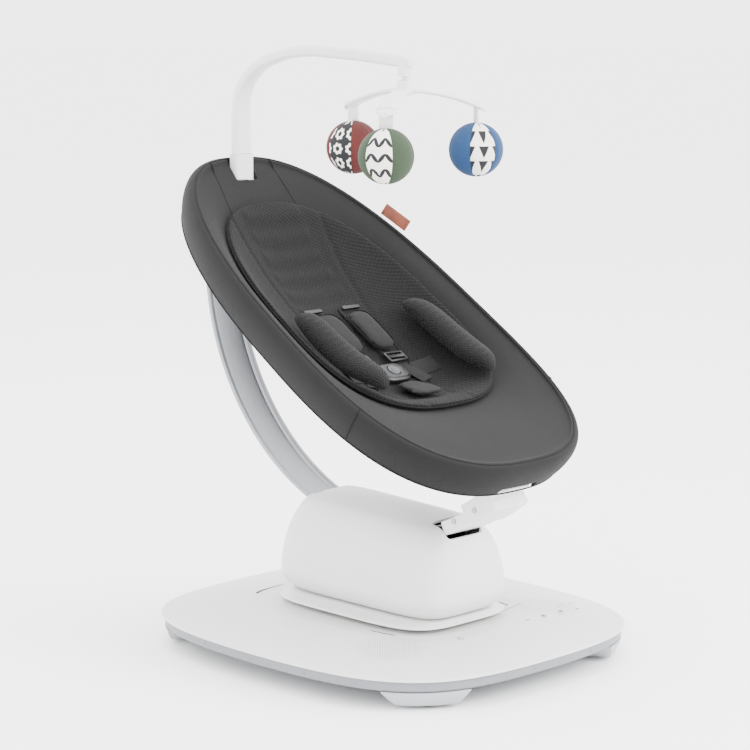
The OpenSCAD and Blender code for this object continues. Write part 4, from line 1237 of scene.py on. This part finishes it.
def makeShoulderPad(side, name, replaced):
    x, s, w, length, t = harness["pad"]
    pad = softPad(name, w - 3 * mm, length - 3 * mm, t - 2 * mm)
    movePoints(pad, lambda p: p + Vector((0, 0, 0.8 * mm)))
    layOn(pad, side * x, s, w, length, 2.4 * mm)
    simulatePuff(pad, 4 * mm, 3.0, 1.4 * mm)
    place(pad, "seat", "padCloth", "pad_fabric", replaced)
    edge = [Vector((px * (w / 2 - 0.6 * mm), py * (length / 2 - 0.6 * mm), t / 2))
            for px, py in around(60, lambda a: squarePoint(a, 4.2))]
    welt = sewn(name + "Welt", edge, 0.8 * mm, "pad_fabric", True, 6)
    layOn(welt, side * x, s, w, length, 2.4 * mm)


def makeCrotchPad():
    pad = softPad("crotchPad", 54 * mm, 50 * mm, 7.4 * mm, 0.66)
    movePoints(pad, lambda p: p + Vector((0, 0, 0.8 * mm)))
    layOn(pad, 0, -118 * mm, 56 * mm, 52 * mm)
    simulatePuff(pad, 4 * mm, 3.0, 1.2 * mm)
    place(pad, "seat", "padCloth", "pad_fabric", "crotch_pad")


def ribbonMesh(name, points, width, thick, sideways=Vector((1, 0, 0))):  # flat webbing with rolled edges
    rings = []
    count = len(points)
    for i in range(count):
        along = (points[min(count - 1, i + 1)] - points[max(0, i - 1)]).normalized()
        side = (sideways - along * sideways.dot(along)).normalized()
        up = side.cross(along)
        h, w = thick / 2, width / 2
        under = [(-w, -h * 0.5), (-w + h, -h), (0, -h * 0.8), (w - h, -h), (w, -h * 0.5)]
        rings.append([points[i] + side * a + up * b for a, b in under + [(a, -b) for a, b in under[::-1]]])
    piece = growRings(name, rings)
    shadeSoft(piece, 40)
    return piece


def makeStraps():
    parts = []
    w, t = harness["strap"]
    for side in (-1, 1):
        x = harness["pad"][0]
        line = []
        for i in range(13):
            q = 60 * mm - 96 * mm * i / 12
            line.append(seatPoint(side * (x + (3 * mm if i > 9 else 0)), q, linerTop(side * x, q, 1.7 * mm)))
        parts.append(ribbonMesh("strap", line, w, t))
        low = []
        for i in range(9):  # a slack run below the adjuster
            lx, ls = side * (31 + 14 * i / 8) * mm, (-50 - 42 * i / 8) * mm
            low.append(seatPoint(lx, ls, linerTop(lx, ls, (1.8 + 1.2 * math.sin(math.pi * i / 8)) * mm)))
        parts.append(ribbonMesh("strapLow", low, w * 0.94, t))
        wx, ws, wl = harness["waist"]
        spots = [side * (wx - wl / 2 + wl * i / 6) for i in range(7)]
        across = [seatPoint(px, ws, linerTop(px, ws, 1.8 * mm)) for px in spots]
        parts.append(ribbonMesh("waist", across, w, t, seatPoint(0, 1, 0) - seatPoint(0, 0, 0)))
    straps = join("harnessWebbing", parts)
    return place(straps, "seat", "webbingBlack", "webbing", "harness_straps")


def makeAdjusters():
    parts = []
    x, s, w, length, t = harness["adjust"]
    for side in (-1, 1):
        frameBlock = block("adjuster", (w, length, t), (0, 0, t / 2 + 2 * mm), (0, 0, 0), 1.4 * mm, 3)
        for dy in (-4.4, 4.4):
            cutter = block("window", (w - 6 * mm, 4 * mm, 20 * mm), (0, dy * mm, 0), (0, 0, 0), 0.8 * mm, 2)
            cutWith(frameBlock, cutter)
        layOn(frameBlock, side * x, s, w, length)
        parts.append(frameBlock)
        slot = block("slotFrame", (30 * mm, 6 * mm, 3.4 * mm), (0, 0, 2.2 * mm), (0, 0, 0), 1.2 * mm, 3)
        layOn(slot, side * 33 * mm, 57 * mm, 30 * mm, 6 * mm)
        parts.append(slot)
    return place(join("strapAdjusters", parts), "seat", "buckleGrey", "nylon_black", "strap_adjusters")


def plateRing(w, d, z, power=3.4):
    loop = around(48, lambda a: squarePoint(a, power))
    return [Vector((px * w / 2 * mm, py * d / 2 * mm, z * mm)) for px, py in loop]


def makeBuckle():
    rows = [(43, 31, 0.2), (45.4, 33.4, 0.8), (46, 34, 2), (46, 34, 5.6), (45.2, 33.2, 6.8), (42, 30, 7.6),
            (40, 28, 8.6), (39, 27, 9.6), (36, 24, 10)]
    body = growRings("buckleBody", [plateRing(*row) for row in rows])
    cutWith(body, cylinder(9.4 * mm, 30 * mm, (0, 0, 17.2 * mm), 64))
    roundEdges(body, 0.4 * mm, 2, 50)
    shadeSoft(body, 40)
    layOn(body, 0, harness["buckleS"], 46 * mm, 34 * mm)
    place(body, "seat", "buckleGrey", "nylon_black", "buckle")
    rows = [(16.4, 4.7), (17.8, 5.2), (18, 8), (17.6, 10.6), (16.2, 11.4), (12, 11.2), (7, 10.6), (2, 10.4)]
    button = growRings("buckleButton", [plateRing(d, d, z, 2) for d, z in rows])
    soften(button)
    layOn(button, 0, harness["buckleS"], 46 * mm, 34 * mm)
    place(button, "buckle_button", "buttonGrey", "buckle_button", "buckle_button")


makeShoulderPad(-1, "shoulderPadLeft", "shoulder_pad_left")
makeShoulderPad(1, "shoulderPadRight", "shoulder_pad_right")
makeCrotchPad()
makeStraps()
makeAdjusters()
makeBuckle()
print("harness shaped")


def rimX(s):
    up = powerOf(s / (seatLength / 2), seat["power"] / 2)
    return powerOf(math.sqrt(1 - up * up), 2 / seat["power"]) * seatWidth / 2 * taper(up)


def makeTag():
    wide, high, thick, at = 42 * mm, 16 * mm, 1.8 * mm, 150 * mm
    turn = math.atan2(rimX(at - 20 * mm) - rimX(at + 20 * mm), 40 * mm)
    parts = [block("sideTag", (thick, wide, high), (0, 0, high / 2), (0, 0, 0), 0.7 * mm, 3)]
    border = ((0, 13.6, 36, 0.5), (0, 2.6, 36, 0.5), (-18, 8, 0.5, 11), (18, 8, 0.5, 11))  # lines of stitches
    for dy, dz, w, h in border:
        size = (thick + 0.5 * mm, w * mm, h * mm)
        parts.append(block("stitch", size, (0, dy * mm, dz * mm), (0, 0, 0), 0.1 * mm, 1))
    tag = join("sideTag", parts)
    tilt, spin = Matrix.Rotation(math.radians(16), 4, "Y"), Matrix.Rotation(turn, 4, "Z")
    foot = Vector((rimX(at) - 3 * mm, at, seatBend(at) + 1.2 * mm))

    def put(p):
        q = spin @ (tilt @ p) + foot
        return seatPoint(q.x, q.y, q.z)

    movePoints(tag, put)
    return place(tag, "seat", "tagLeather", "tag_leather", "side_tag")


makeTag()
print("tag shaped")

# toy bar and mobile

bar = {
    "line": [(250, 603.3), (250.5, 640), (249, 668), (242, 690), (228, 706), (210, 719), (186, 728), (152, 736),
             (114, 739), (101, 739), (32, 736), (-8, 733), (-60, 729)],
    "wide": (29, 17),
    "thick": (13, 15.5),
}


def makeToyBar():
    rows = [(y * mm, z * mm) for y, z in bar["line"]]
    steps = 60
    rings = []
    for i in range(steps + 1):
        t = i / steps
        y, z = between(rows, t)
        ya, za = between(rows, max(0, t - 0.01))
        yb, zb = between(rows, min(1, t + 0.01))
        d = Vector((0, yb - ya, zb - za)).normalized()
        out = Vector((0, -d.z, d.y))
        w = (bar["wide"][0] + (bar["wide"][1] - bar["wide"][0]) * t ** 0.8) * mm
        h = (bar["thick"][0] + (bar["thick"][1] - bar["thick"][0]) * t) * mm
        end = min(1.0, (1 - t) * steps / 1.6)
        shrink = 0.62 + 0.38 * math.sqrt(max(0, 1 - (1 - end) ** 2))
        loop = around(28, lambda a: squarePoint(a, 3.6))
        rings.append([Vector((px * w / 2 * shrink, y, z)) + out * (py * h / 2 * shrink) for px, py in loop])
    arch = growRings("toyBarArch", rings)
    shadeSoft(arch, 50)
    boss = cylinder(9 * mm, 20 * mm, (0, mobileY, 722 * mm))
    pin = cylinder(4.4 * mm, 26 * mm, (0, mobileY, 707 * mm))
    plug = cylinder(5.4 * mm, 28 * mm, (0, postY, 592 * mm))
    roundEdges(boss, 1.5 * mm)
    roundEdges(plug, 0.8 * mm)
    whole = join("toyBarArch", [arch, boss, pin, plug])
    shadeSoft(whole, 45)
    return place(whole, "toy_bar", "shellWhite", "white_shell", "toy_bar")


def ontoArm(piece, angle, reach=0.0):  # from beside the origin to an arm's place on the mobile
    turn = Matrix.Rotation(math.radians(angle), 4, "Z")
    movePoints(piece, lambda p: turn @ (p + Vector((reach, 0, 0))) + Vector((0, mobileY, 0)))


def hubRing(r, z):
    return around(48, lambda a: Vector((r * mm * math.cos(a), mobileY + r * mm * math.sin(a), z * mm)))


def makeSpider():
    hub = ((8, 689), (11.4, 689.6), (12, 691), (11.2, 697), (10.2, 703), (9.5, 706), (8.8, 706.9), (6.2, 706.9),
           (5.2, 706), (5, 697))
    cup = growRings("hubCup", [hubRing(r, z) for r, z in hub])
    shadeSoft(cup, 40)
    parts = [cup]
    for angle in (90, 210, 330):
        rings = []
        steps = 16
        for i in range(steps + 1):
            t = i / steps
            x = (4 + 96.6 * t) * mm
            z = (695 - 24 * t ** 1.8) * mm
            w = (10 + 3 * t) * mm * math.sqrt(max(0.12, 1 - max(0, (t - 0.86) / 0.14) ** 2.4))
            loop = around(20, lambda a: squarePoint(-a, 3))
            rings.append([Vector((x, px * w, z + py * 3 * mm)) for px, py in loop])
        arm = growRings("arm", rings)
        ontoArm(arm, angle)
        size = (5 * mm, 20 * mm, 30 * mm)
        cutter = block("ribbonSlot", size, (ballReach, 0, 676 * mm), (0, 0, 0), 1 * mm, 2)
        ontoArm(cutter, angle)
        cutWith(arm, cutter)
        shadeSoft(arm, 40)
        parts.append(arm)
    spider = join("mobileSpider", parts)
    return place(spider, "mobile", "shellWhite", "white_shell", "mobile_spider")


def makeRibbon(angle, name, body, replaced):
    tape = block("tape", (1.8 * mm, 17.6 * mm, 22 * mm), (0, 0, 665 * mm), (0, 0, 0), 0.5 * mm, 2)
    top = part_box(replaced)[1].z
    low = ballHeight + ballRadius - 1.4 * mm
    stretch = (top - 1.5 * mm - low) / (22 * mm)
    movePoints(tape, lambda p: Vector((p.x, p.y, low + (p.z - 654 * mm) * stretch)))
    head = block("head", (5.6 * mm, 22.6 * mm, 2 * mm), (0, 0, top - 1 * mm), (0, 0, 0), 0.8 * mm, 3)
    ribbon = join(name, [tape, head])
    ontoArm(ribbon, angle, ballReach)
    shadeSoft(ribbon, 40)
    return place(ribbon, body, "ribbonWhite", "ribbon_white", replaced)


def makeBall(angle, name, body, finish, slot, replaced, lead):
    centre = Vector(ballCentre(angle))
    clearPick()
    bpy.ops.mesh.primitive_uv_sphere_add(segments=96, ring_count=48, radius=ballRadius - 0.5 * mm,
                                         location=centre)
    ball = bpy.context.active_object
    ball.name = name
    settle(ball)

    def gore(p):  # each panel bulges a little between its seams
        d = p - centre
        a = math.degrees(math.atan2(d.y, d.x)) - lead
        fromSeam = 30 - abs(a % 60 - 30)
        groove = math.exp(-(fromSeam / 2.2) ** 2)
        flat = math.sqrt(max(0.0, 1 - (d.z / ballRadius) ** 2))
        return centre + d * (1 + (0.012 - 0.045 * groove) * flat)

    movePoints(ball, gore)
    shadeSoft(ball, 80)
    place(ball, body, finish, slot, replaced)
    return ball


makeToyBar()
makeSpider()
balls = {  # angle round the mobile, colour, and the turn of the first seam
    "rear": (90, "red", -140),
    "left": (210, "green", -122),
    "right": (330, "blue", -90),
}
for side, (angle, colour, lead) in balls.items():
    makeRibbon(angle, "ribbon" + side.capitalize(), "ball_" + side, "ribbon_" + side)
for side, (angle, colour, lead) in balls.items():
    name = "ball_" + side
    makeBall(angle, "ball" + side.capitalize(), name, "ball" + colour.capitalize(), "ball_" + colour, name, lead)
print("toy bar and mobile shaped")

# floor and light

studio = {"world": 4.2, "key": 130, "fill": 20, "top": 70, "floor": (252, 252, 252)}


def makeFloor():
    clearPick()
    bpy.ops.mesh.primitive_plane_add(size=40, location=(0, 0, -0.0004))
    floor = bpy.context.active_object
    floor.name = "studioFloor"
    finishes["floorPale"] = moulded("floorPale", studio["floor"], 0.8, 40, 0.00001, 1)
    wear(floor, "floorPale")


def addLight(name, spot, energy, size):
    clearPick()
    bpy.ops.object.light_add(type="AREA", location=spot)
    lamp = bpy.context.active_object
    lamp.name = name
    lamp.data.energy, lamp.data.size = energy, size
    lamp.rotation_euler = (Vector((0, 0, 0.35)) - Vector(spot)).to_track_quat("-Z", "Y").to_euler()


def makeStudio():
    makeFloor()
    world = bpy.context.scene.world or bpy.data.worlds.new("studio")
    bpy.context.scene.world = world
    world.use_nodes = True
    sky = world.node_tree.nodes["Background"]
    sky.inputs["Color"].default_value = (1, 1, 1, 1)
    sky.inputs["Strength"].default_value = studio["world"]
    addLight("keyLight", (1.3, -2.6, 1.9), studio["key"], 1.6)
    addLight("fillLight", (-2.6, 0.4, 1.6), studio["fill"], 2.0)
    addLight("topLight", (0.1, 0.2, 2.8), studio["top"], 2.2)


makeStudio()
print("studio lit")
